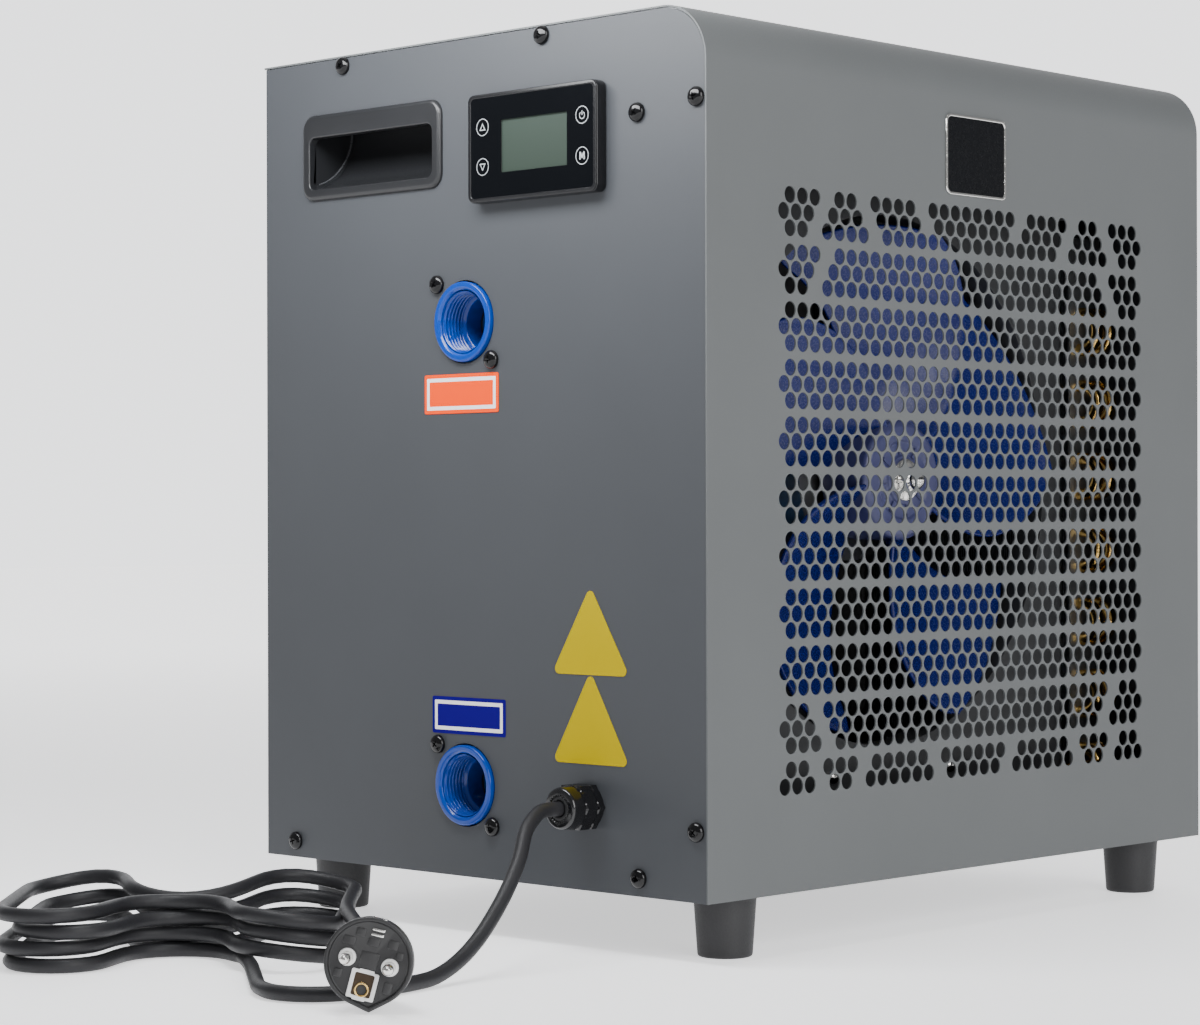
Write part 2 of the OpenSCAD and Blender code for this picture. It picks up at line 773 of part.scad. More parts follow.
module fan_plate() color("darkgray") in_case() {
    along_y(plate_y, sheet) difference() {
        translate([sheet, pan_t]) square([plate_w - sheet, plate_h - pan_t]);
        square([sheet + pan_t + slip, pan_flange_h + slip]);
        translate([fan_x, fan_z]) circle(r = fan_ring_r);
    }
    translate([fan_x, plate_y, fan_z]) rotate([-90, 0, 0]) difference() {
        cylinder(r = fan_ring_r + ring_t, h = ring_l);
        translate([0, 0, -cut]) cylinder(r = fan_ring_r, h = ring_l + 2 * cut);
    }
    along_x(sheet, sheet) difference() {
        translate([plate_y, pan_flange_h + slip]) square([plate_flange, plate_h - pan_flange_h - slip]);
        for (p = plate_screws) translate(p) circle(d = screw_hole_d);
    }
    block([plate_w - sheet, plate_y, pan_t], [sheet, plate_flange, box_z - pan_t]);
    block([foot_in_x, plate_y, pan_t], [plate_w - foot_in_x, plate_flange, sheet]);
}

module foot(x, y) color("black") in_case() translate([x, y, -foot_h]) difference() {
    cylinder(d1 = foot_bottom_d, d2 = foot_top_d, h = foot_h);
    translate([0, 0, -cut]) cylinder(d = 2 * foot_screw_d + 2 * slip, h = foot_h / 2 + cut);
    cylinder(d = foot_screw_d + 2 * slip, h = foot_h + cut);
}

module foot_screws() color("silver") in_case() for (p = foot_places())
    translate([p[0], p[1], -foot_h / 2]) {
    translate([0, 0, -foot_screw_d / 2]) cylinder(d = 2 * foot_screw_d, h = foot_screw_d / 2);
    cylinder(d = foot_screw_d, h = foot_h / 2 + pan_t + foot_screw_d);
    translate([0, 0, foot_h / 2 + pan_t]) difference() {
        linear_extrude(foot_screw_d * 3 / 4) hexagon(foot_screw_d * 5 / 3);
        translate([0, 0, -cut]) cylinder(d = foot_screw_d - snug, h = foot_screw_d + cut);
    }
}

module case_screws() color("black") in_case() {
    for (p = concat(rail_screws, pan_screws, plate_screws))
        translate([0, p[0], p[1]]) rotate([0, -90, 0]) pan_screw();
    for (p = concat(rail_screws, pan_screws)) translate([case_w, p[0], p[1]]) rotate([0, 90, 0])
        pan_screw();
    for (p = rear_screws, x = [p[0], case_w - p[0]]) translate([x, case_d, p[1]]) rotate([-90, 0, 0])
        pan_screw();
}

// Handle: a frame on the panel and a cup behind it, scooped so that fingers hook up behind the lip
function grip_cup_w() = grip_w - 2 * grip_wall * 2;
function grip_cup_h() = grip_h - 2 * grip_wall;
module handle() {
    mouth_w = grip_w * (1 - 2 * grip_side_share);
    low = grip_z - grip_h / 2 + grip_h * grip_low_share;
    high = grip_z + grip_h / 2 - grip_h * grip_lip_share;
    top = grip_z + grip_cup_h() / 2 - grip_wall;
    in_w = grip_cup_w() - 2 * grip_wall;
    difference() {
        union() {
            along_x(-grip_proud, grip_proud) translate([grip_y, grip_z])
                round_rect(grip_w, grip_h, grip_corner);
            along_x(0, grip_depth + grip_wall) translate([grip_y, grip_z])
                round_rect(grip_cup_w(), grip_cup_h(), grip_wall);
        }
        along_x(-grip_proud - cut, 2 * grip_proud + cut) translate([grip_y, (low + high) / 2])
            round_rect(min(mouth_w, in_w), high - low, grip_corner / 2);
        along_y(grip_y - in_w / 2, in_w) intersection() {
            translate([grip_proud - snug, low]) square([grip_depth, top - low]);
            translate([grip_depth * (1 - grip_curl_share), high]) circle(r = grip_depth * grip_curl_share);
        }
    }
}
module left_handle() color("black") in_case() handle();
module right_handle() color("black") in_case() translate([case_w, 0, 0]) mirror([1, 0, 0]) handle();

module badge() color("darkslategray") in_case() along_y(-badge_t, badge_t)
    translate([case_w / 2, badge_z]) round_rect(badge_w, badge_h, badge_corner);

module port_labels() color("orangered") in_case() along_x(-label_t, label_t) {
    translate(outlet_label_at) round_rect(outlet_label[0], outlet_label[1], label_corner);
    translate(inlet_label_at) round_rect(inlet_label[0], inlet_label[1], label_corner);
}
module yellow_labels() color("gold") in_case() along_x(-label_t, label_t)
    for (z = triangle_zs) translate([triangle_y, z]) hull() {
        for (k = [-1, 1]) translate([k * (triangle_w / 2 - triangle_corner), triangle_corner])
            circle(r = triangle_corner, $fn = 24);
        translate([0, triangle_h - triangle_corner]) circle(r = triangle_corner, $fn = 24);
    }

// Display: a bezel with a hollow back through the panel, a glass front, the crystal and a board
function display_back_w() = display_w - 2 * display_ledge_x;
function display_back_h() = display_h - 2 * display_ledge_z;
module display_bezel() color([0.05, 0.05, 0.06]) in_case() difference() {
    union() {
        along_x(-display_proud, display_proud) translate([display_y, display_z])
            round_rect(display_w, display_h, display_corner);
        along_x(0, display_back_d) translate([display_y, display_z])
            round_rect(display_back_w(), display_back_h(), display_wall);
    }
    along_x(-display_proud - cut, glass_drop + glass_t + cut) translate([display_y, display_z])
        round_rect(display_w - 2 * display_rim, display_h - 2 * display_rim, display_corner - display_rim);
    along_x(-display_proud, display_proud + display_back_d + cut) translate([display_y, display_z])
        round_rect(display_back_w() - 2 * display_wall, display_back_h() - 2 * display_wall,
            display_wall / 2);
}
module display_glass() color([0.02, 0.02, 0.025]) in_case() along_x(-display_proud + glass_drop, glass_t)
    translate([display_y, display_z]) difference() {
    round_rect(display_w - 2 * display_rim - 2 * snug, display_h - 2 * display_rim - 2 * snug,
        display_corner - display_rim);
    translate([lcd_shift_y, 0]) square([lcd_w, lcd_h], center = true);
}
module display_lcd() color([0.55, 0.62, 0.55]) in_case() along_x(-display_proud + glass_drop + slip, lcd_t)
    translate([display_y + lcd_shift_y, display_z])
        square([lcd_w - 2 * snug, lcd_h - 2 * snug], center = true);
module display_board() color("darkgreen") in_case()
    along_x(-display_proud + glass_drop + slip + lcd_t, board_t)
    translate([display_y, display_z])
        round_rect(display_back_w() - 2 * display_wall - 2 * snug, display_back_h() - 2 * display_wall
            - 2 * snug, display_wall / 2);

// Water port: a collar through the panel, two lugs behind it and a tail to the exchanger
module water_union(z) color("dodgerblue") in_case() difference() {
    union() {
        rod_x([-collar_proud, port_y, z], collar_d / 2, collar_proud + sheet + lug_t);
        rod_x([sheet, port_y, z], port_tail_d / 2, port_end_x - sheet);
        along_x(sheet, lug_t) translate([port_y, z]) rotate(45)
            round_rect(2 * (port_screw_in * sqrt(2) + lug_r), 2 * lug_r, lug_r - snug);
    }
    rod_x([-collar_proud - cut, port_y, z], port_bore_d / 2, port_end_x + collar_proud + 2 * cut);
    rod_x([-collar_proud - cut, port_y, z], thread_d / 2, thread_l + mouth_chamfer + cut);
    translate([-collar_proud, port_y, z]) rotate([0, 90, 0])
        cylinder(r1 = thread_d / 2 + mouth_chamfer, r2 = thread_d / 2, h = mouth_chamfer);
    for (k = [-1, 1]) rod_x([0, port_y + k * port_screw_in, z + k * port_screw_in], screw_hole_d / 2,
        sheet + lug_t + cut);
}
module union_screws() color("black") in_case() for (z = [outlet_z, inlet_z], k = [-1, 1])
    translate([0, port_y + k * port_screw_in, z + k * port_screw_in]) rotate([0, -90, 0]) pan_screw();
module union_seals() color("black") in_case() for (z = [outlet_z, inlet_z]) difference() {
    rod_x([port_end_x, port_y, z], port_tail_d / 2, seal_t);
    rod_x([port_end_x - cut, port_y, z], port_bore_d / 2, seal_t + 2 * cut);
}

// Cable gland
module gland_body() color([0.08, 0.08, 0.08]) in_case() translate([0, gland_y, gland_z]) difference() {
    union() {
        along_x(-gland_flange_t, gland_flange_t) hexagon(gland_af);
        rod_x([-gland_flange_t - gland_neck_l, 0, 0], gland_neck_d / 2, gland_neck_l + cut);
        rod_x([0, 0, 0], gland_thread_d / 2, gland_in_l);
    }
    rod_x([-gland_flange_t - gland_neck_l - cut, 0, 0], gland_bore_r, gland_flange_t + gland_neck_l
        + gland_in_l + 2 * cut);
}
module gland_nut() color([0.08, 0.08, 0.08]) in_case() translate([dome_x, gland_y, gland_z]) difference() {
    union() {
        along_x(0, gland_nut_l) hexagon(gland_af);
        rotate([0, -90, 0]) rotate_extrude() intersection() {
            square([gland_af / 2, gland_dome_l]);
            translate([gland_af / 2 - gland_dome_l, 0]) union() {
                circle(r = gland_dome_l);
                translate([-gland_af, 0]) square([gland_af, gland_dome_l]);
            }
        }
    }
    rod_x([-gland_dome_l - cut, 0, 0], gland_mouth_r, gland_dome_l + gland_nut_l + 2 * cut);
    rod_x([gland_nut_l - gland_neck_l + gland_gap - slip, 0, 0], gland_neck_d / 2 + snug,
        gland_neck_l + cut);
}
module gland_seal() color("black") in_case() difference() {
    rod_x([seal_front_x, gland_y, gland_z], gland_seal_r, seal_l);
    rod_x([seal_front_x - cut, gland_y, gland_z], cord_d / 2 + snug, seal_l + 2 * cut);
}
module gland_locknut() color([0.08, 0.08, 0.08]) in_case() translate([sheet, gland_y, gland_z])
    difference() {
    along_x(0, locknut_t) hexagon(gland_af);
    rod_x([-cut, 0, 0], gland_thread_d / 2 + snug, locknut_t + 2 * cut);
}
module supply_cable() color("black") in_case()
    tube(rounded([[seal_front_x, gland_y, gland_z], [supply_x, gland_y, gland_z],
        [supply_x, gland_y, supply_z],
        [box_x + sheet + cord_d, gland_y, supply_z]], 2 * cord_d), cord_d, cord_sides);

module cord_lead() color([0.13, 0.13, 0.14]) tube(lead_path, cord_d, cord_sides);
module cord_hank() color([0.13, 0.13, 0.14]) tube(hank_path, cord_d, hank_sides);
module cord_tail() color([0.13, 0.13, 0.14]) tube(tail_path, cord_d, cord_sides);

// Mains plug with two round pins, drawn with its face on x = 0 and its cord behind
module at_plug() translate([plug_x, plug_y, plug_z]) rotate([0, 0, plug_turn]) rotate([plug_roll, 0, 0])
    children();
module plug_body() color([0.06, 0.06, 0.06]) at_plug() difference() {
    rotate([0, -90, 0]) rotate_extrude() polygon([[0, 0], [plug_d / 2, 0], [plug_d / 2, plug_rim_l],
        [plug_d / 2 - plug_rim_t, plug_rim_l + plug_rim_t], [plug_grip_r, plug_grip_x],
            [plug_grip_r, plug_neck_x],
        [plug_neck_r, plug_neck_x + plug_rim_t], [cord_d / 2 + plug_sleeve_t, plug_end_x], [0, plug_end_x]]);
    rod_x([-plug_rim_h, 0, 0], plug_d / 2 - plug_rim_t, plug_rim_h + cut);
    for (y = [-1, 1]) rod_x([-pin_l, y * pin_pitch / 2, 0], pin_d / 2 + snug, pin_l + cut);
    block([-earth_depth, -earth_frame / 2, -earth_pitch - earth_frame / 2],
        [earth_depth + cut, earth_frame, earth_frame]);
    for (z = [-1, 1]) block([-clip_l, -clip_w / 2 - snug, z * (plug_d / 2 - clip_t) - clip_t],
        [clip_l + cut, clip_w + 2 * snug, 2 * clip_t]);
}
module plug_pins() color("silver") at_plug() for (y = [-1, 1]) {
    rod_x([-pin_l / 2, y * pin_pitch / 2, 0], pin_d / 2, pin_l * 3 / 2);
    difference() {
        rod_x([-plug_rim_h, y * pin_pitch / 2, 0], sleeve_d / 2, sleeve_l);
        rod_x([-plug_rim_h - cut, y * pin_pitch / 2, 0], pin_d / 2 - snug, sleeve_l + 2 * cut);
    }
}
module plug_earth() color("goldenrod") at_plug() {
    difference() {
        block([-earth_depth, snug - earth_frame / 2, snug - earth_pitch - earth_frame / 2],
            [earth_depth - plug_rim_h / 2, earth_frame - 2 * snug, earth_frame - 2 * snug]);
        rod_x([-earth_depth + clip_t, 0, -earth_pitch], earth_d / 2, earth_depth);
    }
    for (z = [-1, 1]) block([-clip_l, -clip_w / 2, z * (plug_d / 2 - clip_t) - clip_t / 2],
        [clip_l - plug_rim_h / 2, clip_w, clip_t]);
}

// Fan: a blade is a thin curved sheet that twists from root to tip
function blade_mid(i, j) = let (r = hub_r - blade_t + (fan_r - hub_r + blade_t) * i / blade_steps,
        v = j / chord_steps, a = (v - 1 / 2) * blade_span * (1 - blade_taper_share * i / blade_steps)
            + blade_sweep * pow(i / blade_steps, 2),
        y = blade_front_y + (blade_back_y - blade_front_y) * (blade_end_share
            + (1 - 2 * blade_end_share) * v + blade_end_share * sin(180 * v) * (1 - i / blade_steps)))
    [r * cos(a), y, r * sin(a)];
module blade() {
    ni = blade_steps + 1;
    nj = chord_steps + 1;
    face = [for (i = [0:blade_steps]) for (j = [0:chord_steps]) blade_mid(i, j)];
    points = concat(face, [for (p = face) p + [0, blade_t, 0]]);
    back = ni * nj;
    function at(i, j) = i * nj + j;
    faces = concat(
        [for (i = [0:ni - 2]) for (j = [0:nj - 2]) each
            [[at(i, j), at(i + 1, j + 1), at(i + 1, j)], [at(i, j), at(i, j + 1), at(i + 1, j + 1)],
            [back + at(i, j), back + at(i + 1, j), back + at(i + 1, j + 1)],
            [back + at(i, j), back + at(i + 1, j + 1), back + at(i, j + 1)]]],
        [for (i = [0:ni - 2]) each
            [[at(i, 0), back + at(i + 1, 0), back + at(i, 0)],
                [at(i, 0), at(i + 1, 0), back + at(i + 1, 0)],
            [at(i, nj - 1), back + at(i, nj - 1), back + at(i + 1, nj - 1)],
            [at(i, nj - 1), back + at(i + 1, nj - 1), at(i + 1, nj - 1)]]],
        [for (j = [0:nj - 2]) each
            [[at(0, j), back + at(0, j), back + at(0, j + 1)],
                [at(0, j), back + at(0, j + 1), at(0, j + 1)],
            [at(ni - 1, j), back + at(ni - 1, j + 1), back + at(ni - 1, j)],
            [at(ni - 1, j), at(ni - 1, j + 1), back + at(ni - 1, j + 1)]]]);
    polyhedron(points, faces, convexity = 6);
}
module on_fan_axis() in_case() translate([fan_x, 0, fan_z]) children();
module fan_rotor() color("royalblue") on_fan_axis() {
    difference() {
        rod_y([0, hub_y, 0], hub_r, hub_l);
        rod_y([0, hub_y + hub_wall, 0], hub_r - hub_wall, hub_l);
        rod_y([0, hub_y - cut, 0], shaft_d / 2 + snug, hub_l);
    }
    difference() {
        rod_y([0, hub_y + hub_wall / 2, 0], shaft_d, hub_l - hub_wall);
        rod_y([0, hub_y - cut, 0], shaft_d / 2 + snug, hub_l + 2 * cut);
    }
    for (k = [0:blades - 1]) rotate([0, 360 / blades * k, 0]) blade();
}
module fan_nut() color("silver") on_fan_axis() {
    difference() {
        union() {
            rod_y([0, hub_y - washer_t, 0], washer_r, washer_t);
            rod_y([0, nut_face_y, 0], nut_r, nut_l * nut_flat_share);
            translate([0, nut_face_y, 0]) rotate([90, 0, 0])
                cylinder(r1 = nut_r * nut_top_share, r2 = nut_r / 2, h = nut_l * (1 - nut_flat_share));
        }
        rod_y([0, shaft_front_y - snug, 0], shaft_d / 2 + snug, nut_l + washer_t + cut);
    }
}
module motor_shaft() color("silver") on_fan_axis()
    rod_y([0, shaft_front_y, 0], shaft_d / 2, bell_y - 2 * slip - shaft_front_y);
module motor_core() color("silver") on_fan_axis() difference() {
    rod_y([0, stator_y, 0], core_r, stator_l);
    rod_y([0, stator_y - cut, 0], shaft_d / 2 + snug, stator_l + 2 * cut);
}
module motor_shell() color("darkgray") on_fan_axis() {
    difference() {
        rod_y([0, motor_y, 0], motor_r, motor_l);
        rod_y([0, motor_y + motor_wall, 0], motor_r - motor_wall, motor_l);
        rod_y([0, motor_y - cut, 0], shaft_d / 2 + bearing_lip, motor_l);
    }
    difference() {
        rod_y([0, motor_y + motor_wall, 0], seat_r, bearing_l);
        rod_y([0, motor_y + motor_wall - cut, 0], bearing_r + snug, bearing_l + 2 * cut);
    }
}
module motor_end_bell() color("darkgray") on_fan_axis() {
    rod_y([0, bell_y, 0], motor_r, bell_t);
    difference() {
        rod_y([0, bell_y - bearing_l, 0], seat_r, bearing_l);
        rod_y([0, bell_y - bearing_l - cut, 0], bearing_r + snug, bearing_l + cut);
    }
}
module motor_stator() color("darkorange") on_fan_axis() difference() {
    rod_y([0, stator_y, 0], stator_r, stator_l);
    rod_y([0, stator_y - cut, 0], core_r + air_gap, stator_l + 2 * cut);
}
module motor_bearings() color("silver")
    on_fan_axis() for (y = [motor_y + motor_wall, bell_y - bearing_l]) difference() {
    rod_y([0, y, 0], bearing_r, bearing_l);
    rod_y([0, y - cut, 0], shaft_d / 2 + running_gap, bearing_l + 2 * cut);
}
module motor_bracket() color("silver") in_case() {
    left = fan_x - bracket_w / 2;
    along_y(bracket_y, bracket_t) difference() {
        translate([left, pan_t]) square([bracket_w, box_z - pan_t]);
        for (x = [-1, 1], z = [-1, 1]) translate([fan_x + x * motor_screw_r, fan_z + z * motor_screw_r])
            circle(d = screw_hole_d);
    }
    for (x = [left, left + bracket_w - bracket_t])
        block([x, bracket_y, pan_t], [bracket_t, bracket_flange, box_z - pan_t]);
    for (z = [pan_t, box_z - bracket_t]) block([left, bracket_y, z], [bracket_w, bracket_foot, bracket_t]);
}

// Control box, its lid, its board and the parts on the board
module control_box() color("lightgray") in_case() difference() {
    block([box_x, box_y, box_z], [box_w, box_d, box_h]);
    block([box_x + sheet, box_y + sheet, box_z + sheet], [box_w - 2 * sheet, box_d - 2 * sheet, box_h]);
    rod_x([box_x - cut, gland_y, supply_z], cord_d / 2 + slip, sheet + 2 * cut);
}
module control_lid() color("lightgray") in_case()
    block([box_x, box_y, box_z + box_h], [box_w, box_d, sheet]);
module control_board() color("darkgreen") in_case() {
    block([board_x, board_y, board_z], [board_w, board_d, board_t]);
    for (x = [board_inset, board_w - board_inset], y = [board_inset, board_d - board_inset])
        translate([board_x + x, board_y + y, box_z + sheet]) cylinder(r = standoff_r, h = board_gap);
}
module control_parts() color("dimgray") in_case() translate([board_x, board_y, board_z + board_t]) {
    translate([board_w - heatsink[0] - board_inset, board_d - heatsink[1] - board_inset, 0]) cube(heatsink);
    for (k = [0:3]) translate([board_inset + k * relay[0] * 4 / 3, board_d / 2, 0]) cube(relay);
    translate([board_inset * 2, board_inset * 2, 0]) cube(terminal);
    for (k = [0:2]) translate([board_w / 2 + k * choke_r * 3, board_inset + choke_r, 0])
        cylinder(r = choke_r, h = choke_h);
}

// Compressor on three grommets, with its accumulator, and the copper pipes
module domed(r, h, dome) rotate_extrude() intersection() {
    square([r, h]);
    union() {
        translate([0, dome]) square([r, h - 2 * dome]);
        for (z = [dome, h - dome]) translate([r - dome, z]) circle(r = dome);
        square([r - dome, h]);
    }
}
module comp_feet() for (k = [0:2]) rotate(120 * k) translate([comp_foot_r, 0, 0]) children();
module at_comp() in_case() translate([comp_x, comp_y, 0]) children();
module compressor() color([0.1, 0.1, 0.11]) at_comp() {
    translate([0, 0, comp_z]) domed(comp_r, comp_h, comp_dome);
    translate([0, 0, comp_z + comp_h]) cylinder(d = stub_d, h = stub_l);
    translate([0, -terminal_r * 3 / 2, comp_z + comp_h - cut])
        cylinder(r = terminal_r * 2 / 3, h = terminal_h);
    difference() {
        union() {
            translate([0, 0, comp_z]) cylinder(r = comp_r - comp_dome + 2 * comp_plate_t, h = comp_plate_t);
            translate([0, 0, comp_z]) comp_feet() cylinder(r = comp_lobe_r, h = comp_plate_t);
            translate([0, 0, comp_z]) for (k = [0:2]) rotate(120 * k)
                block([0, -comp_lobe_r, 0], [comp_foot_r, 2 * comp_lobe_r, comp_plate_t]);
        }
        translate([0, 0, comp_z - cut]) comp_feet()
            cylinder(r = grommet_neck_r + slip, h = comp_plate_t + 2 * cut);
    }
}
module compressor_grommets() color("black") at_comp() comp_feet() difference() {
    union() {
        translate([0, 0, pan_t]) cylinder(r = grommet_r, h = comp_z - pan_t);
        translate([0, 0, pan_t]) cylinder(r = grommet_neck_r, h = comp_z - pan_t + comp_plate_t + slip);
    }
    cylinder(d = stud_d + 2 * slip, h = comp_z + comp_plate_t + cut);
}
module compressor_studs() color("silver") at_comp() comp_feet() {
    translate([0, 0, pan_t]) cylinder(d = stud_d, h = comp_z + comp_plate_t + stud_nut_h);
    translate([0, 0, comp_z + comp_plate_t + slip]) linear_extrude(stud_nut_h) hexagon(stud_nut_af);
}
module accumulator() color([0.1, 0.1, 0.11]) in_case() {
    translate([accu_x, comp_y, accu_z]) domed(accu_r, accu_h, accu_dome);
    difference() {
        block([comp_x, comp_y - strap_w / 2, strap_z], [accu_x - comp_x, strap_w, strap_h]);
        translate([comp_x, comp_y, 0]) cylinder(r = comp_r + snug, h = comp_z + comp_h);
    }
    translate([accu_x, comp_y, accu_z + accu_h]) cylinder(d = stub_d, h = stub_l);
}

// Fins along one straight run as [along, into the block], the first and the last flush with its ends
function fin_teeth(run) = let (count = round(run / fin_pitch), step = (run - fin_t) / count) [
    for (k = [0:count - 1]) each [
        [step * k, 0],
        [step * k + fin_t, 0],
        [step * k + fin_t, fin_depth],
        [step * (k + 1), fin_depth],
    ],
    [run - fin_t, 0],
    [run, 0],
];
function from_bend(out_r, turn) = [evap_out_x - evap_corner_r + out_r * sin(turn),
    evap_out_y - evap_corner_r + out_r * cos(turn)];
// The L as seen from above: a core with fins on both faces, which fan out round the bend
module evap_plan() {
    rear_run = evap_out_x - evap_corner_r - evap_left_x;
    side_run = evap_out_y - evap_corner_r - evap_front_y;
    bend = fin_teeth(evap_corner_r * PI / 2);
    bend_share = quarter_turn / bend[len(bend) - 1][0];
    polygon([
        for (p = fin_teeth(rear_run)) [evap_left_x + p[0], evap_out_y - p[1]],
        for (i = [1:len(bend) - 2])
            from_bend(evap_corner_r - bend[i][1], bend[i][0] * bend_share),
        for (p = fin_teeth(side_run)) [evap_out_x - p[1], evap_front_y + side_run - p[0]],
        for (p = fin_teeth(side_run)) [evap_out_x - evap_t + p[1], evap_front_y + p[0]],
        for (k = [fin_bend_steps - 1:-1:1])
            from_bend(evap_corner_r - evap_t, quarter_turn * k / fin_bend_steps),
        for (p = fin_teeth(rear_run)) [evap_left_x + rear_run - p[0], evap_out_y - evap_t + p[1]],
    ]);
}
module evaporator_fins() color("silver") in_case() {
    along_z(evap_z, evap_h - evap_z) evap_plan();
    block([evap_left_x - end_plate_t, evap_out_y - evap_t - end_plate_out, pan_t],
        [end_plate_t, evap_t + 2 * end_plate_out, evap_h - pan_t]);
    block([evap_out_x - evap_t - end_plate_out, evap_front_y - end_plate_t, pan_t],
        [evap_t + 2 * end_plate_out, end_plate_t, evap_h - pan_t]);
}
// Return bend between two tubes one step apart, opening toward +X
module return_bend() {
    rotate([90, 0, 0]) rotate([0, 0, 90]) rotate_extrude(angle = 180) translate([tube_step / 2, 0])
        circle(d = tube_d, $fn = 24);
    for (k = [-1, 1]) rod_x([0, 0, k * tube_step / 2], tube_d / 2, tube_stub);
}
module evaporator_tubes() color("peru") in_case() {
    front = evap_front_y - end_plate_t - tube_stub;
    left = evap_left_x - end_plate_t - tube_stub;
    for (k = [0:tube_rows - 1]) {
        z = tube_first_z + tube_step / 2 + 2 * tube_step * k;
        for (c = [col_in_share, col_out_share])
            translate([evap_out_x - evap_t * (1 - c), front, z]) rotate([0, 0, 90]) return_bend();
        translate([left, evap_out_y - evap_t * (1 - col_out_share), z]) return_bend();
    }
    header_y = evap_out_y - evap_t * (1 - col_in_share);
    header_x = evap_left_x - end_plate_t - header_out;
    translate([header_x, header_y, tube_first_z + tube_step])
        cylinder(d = header_d, h = 2 * tube_step * (tube_rows - 1));
    for (k = [1:2 * tube_rows - 2])
        rod_x([header_x, header_y, tube_first_z + tube_step * k + tube_step / 2], tube_d / 2, header_out);
}

// Upright exchanger: a shell on the pan, a cap, and a titanium coil inside
module exchanger_shell() color("lightsteelblue") in_case() difference() {
    union() {
        translate([exch_x, port_y, pan_t]) cylinder(r = exch_r, h = exch_h - cap_t);
        for (z = [outlet_z, inlet_z]) rod_x([port_end_x + seal_t, port_y, z], boss_r,
            exch_x - port_end_x - seal_t);
    }
    translate([exch_x, port_y, pan_t + exch_floor]) cylinder(r = exch_in_r, h = exch_h);
    for (z = [outlet_z, inlet_z]) rod_x([0, port_y, z], port_bore_d / 2, exch_x);
}
coil_top = [exch_x + helix_r * cos(helix_angle), port_y + helix_r * sin(helix_angle)];
module exchanger_cap() color("lightsteelblue") in_case() difference() {
    translate([exch_x, port_y, exch_top - cap_t]) cylinder(r = exch_r, h = cap_t);
    translate([exch_x, port_y, 0]) cylinder(d = helix_d + 2 * slip, h = exch_top + cut);
    translate([coil_top[0], coil_top[1], 0]) cylinder(d = helix_d + 2 * slip, h = exch_top + cut);
    block([switch_x - switch_post[0] / 2 - snug, port_y - switch_post[1] / 2 - snug, exch_top - cap_t
        - cut],
        [switch_post[0] + 2 * snug, switch_post[1] + 2 * snug, cap_t + 2 * cut]);
}
helix_path = concat([[coil_top[0], coil_top[1], exch_top],
    [coil_top[0], coil_top[1], helix_z + helix_turns * helix_step + helix_d]],
    [for (k = [0:12 * helix_turns]) let (a = helix_angle + 30 * k)
        [exch_x + helix_r * cos(a), port_y + helix_r * sin(a), helix_z + helix_step
            * (helix_turns - k / 12)]],
    [[exch_x, port_y, helix_z - helix_d], [exch_x, port_y, helix_z + helix_d], [exch_x, port_y, exch_top]]);
module exchanger_coil() color("silver") in_case() tube(helix_path, helix_d, hank_sides);

// Flow switch: a head on the cap, a post through it with two ears, a pin, and a paddle on the pin
module at_switch() in_case() translate([switch_x, port_y, 0]) children();
module flow_switch() color("black") at_switch() {
    translate([-switch_head[0] / 2, -switch_head[1] / 2, exch_top]) cube(switch_head);
    post_low = hinge_z + barrel_r + 2 * slip;
    translate([-switch_post[0] / 2, -switch_post[1] / 2, post_low])
        cube([switch_post[0], switch_post[1], exch_top - post_low]);
    for (y = [-switch_post[1] / 2, switch_post[1] / 2 - ear_t])
        block([-switch_post[0] / 2, y, hinge_z - ear_low],
            [switch_post[0], ear_t, post_low - hinge_z + ear_low]);
    rod_y([0, -switch_post[1] / 2, hinge_z], hinge_d / 2, switch_post[1]);
}
module flow_paddle() color("orange") at_switch() {
    barrel_l = switch_post[1] - 2 * ear_t - 2 * slip;
    difference() {
        union() {
            rod_y([0, -barrel_l / 2, hinge_z], barrel_r, barrel_l);
            block([-paddle_t / 2, -barrel_l / 2, hinge_z - paddle_l], [paddle_t, barrel_l, paddle_l]);
        }
        rod_y([0, -barrel_l, hinge_z], hinge_d / 2 + running_gap, 2 * barrel_l);
    }
}

base_pan();
wrap_cover();
service_panel();
right_panel();
rear_guard();
fan_plate();
foot(foot_in_x, foot_in_y);  // foot_front_left
foot(case_w - foot_in_x, foot_in_y);  // foot_front_right
foot(foot_in_x, case_d - foot_in_y);  // foot_rear_left
foot(case_w - foot_in_x, case_d - foot_in_y);  // foot_rear_right
foot_screws();
case_screws();
left_handle();
right_handle();
badge();
port_labels();
yellow_labels();
display_bezel();
display_glass();
display_lcd();
display_board();
water_union(outlet_z);  // outlet_union
water_union(inlet_z);  // inlet_union
union_screws();
union_seals();
gland_body();
gland_nut();
gland_seal();
gland_locknut();
supply_cable();
cord_lead();
cord_hank();
cord_tail();
plug_body();
plug_pins();
plug_earth();
fan_rotor();
fan_nut();
motor_shaft();
motor_core();
motor_shell();
motor_end_bell();
motor_stator();
motor_bearings();
motor_bracket();
control_box();
control_lid();
control_board();
control_parts();
compressor();
compressor_grommets();
compressor_studs();
accumulator();
evaporator_fins();
evaporator_tubes();
exchanger_shell();
exchanger_cap();
exchanger_coil();
flow_switch();
flow_paddle();
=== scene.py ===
import bpy, bmesh, math
from mathutils import Vector, Matrix
from math import sin, cos, pi, radians


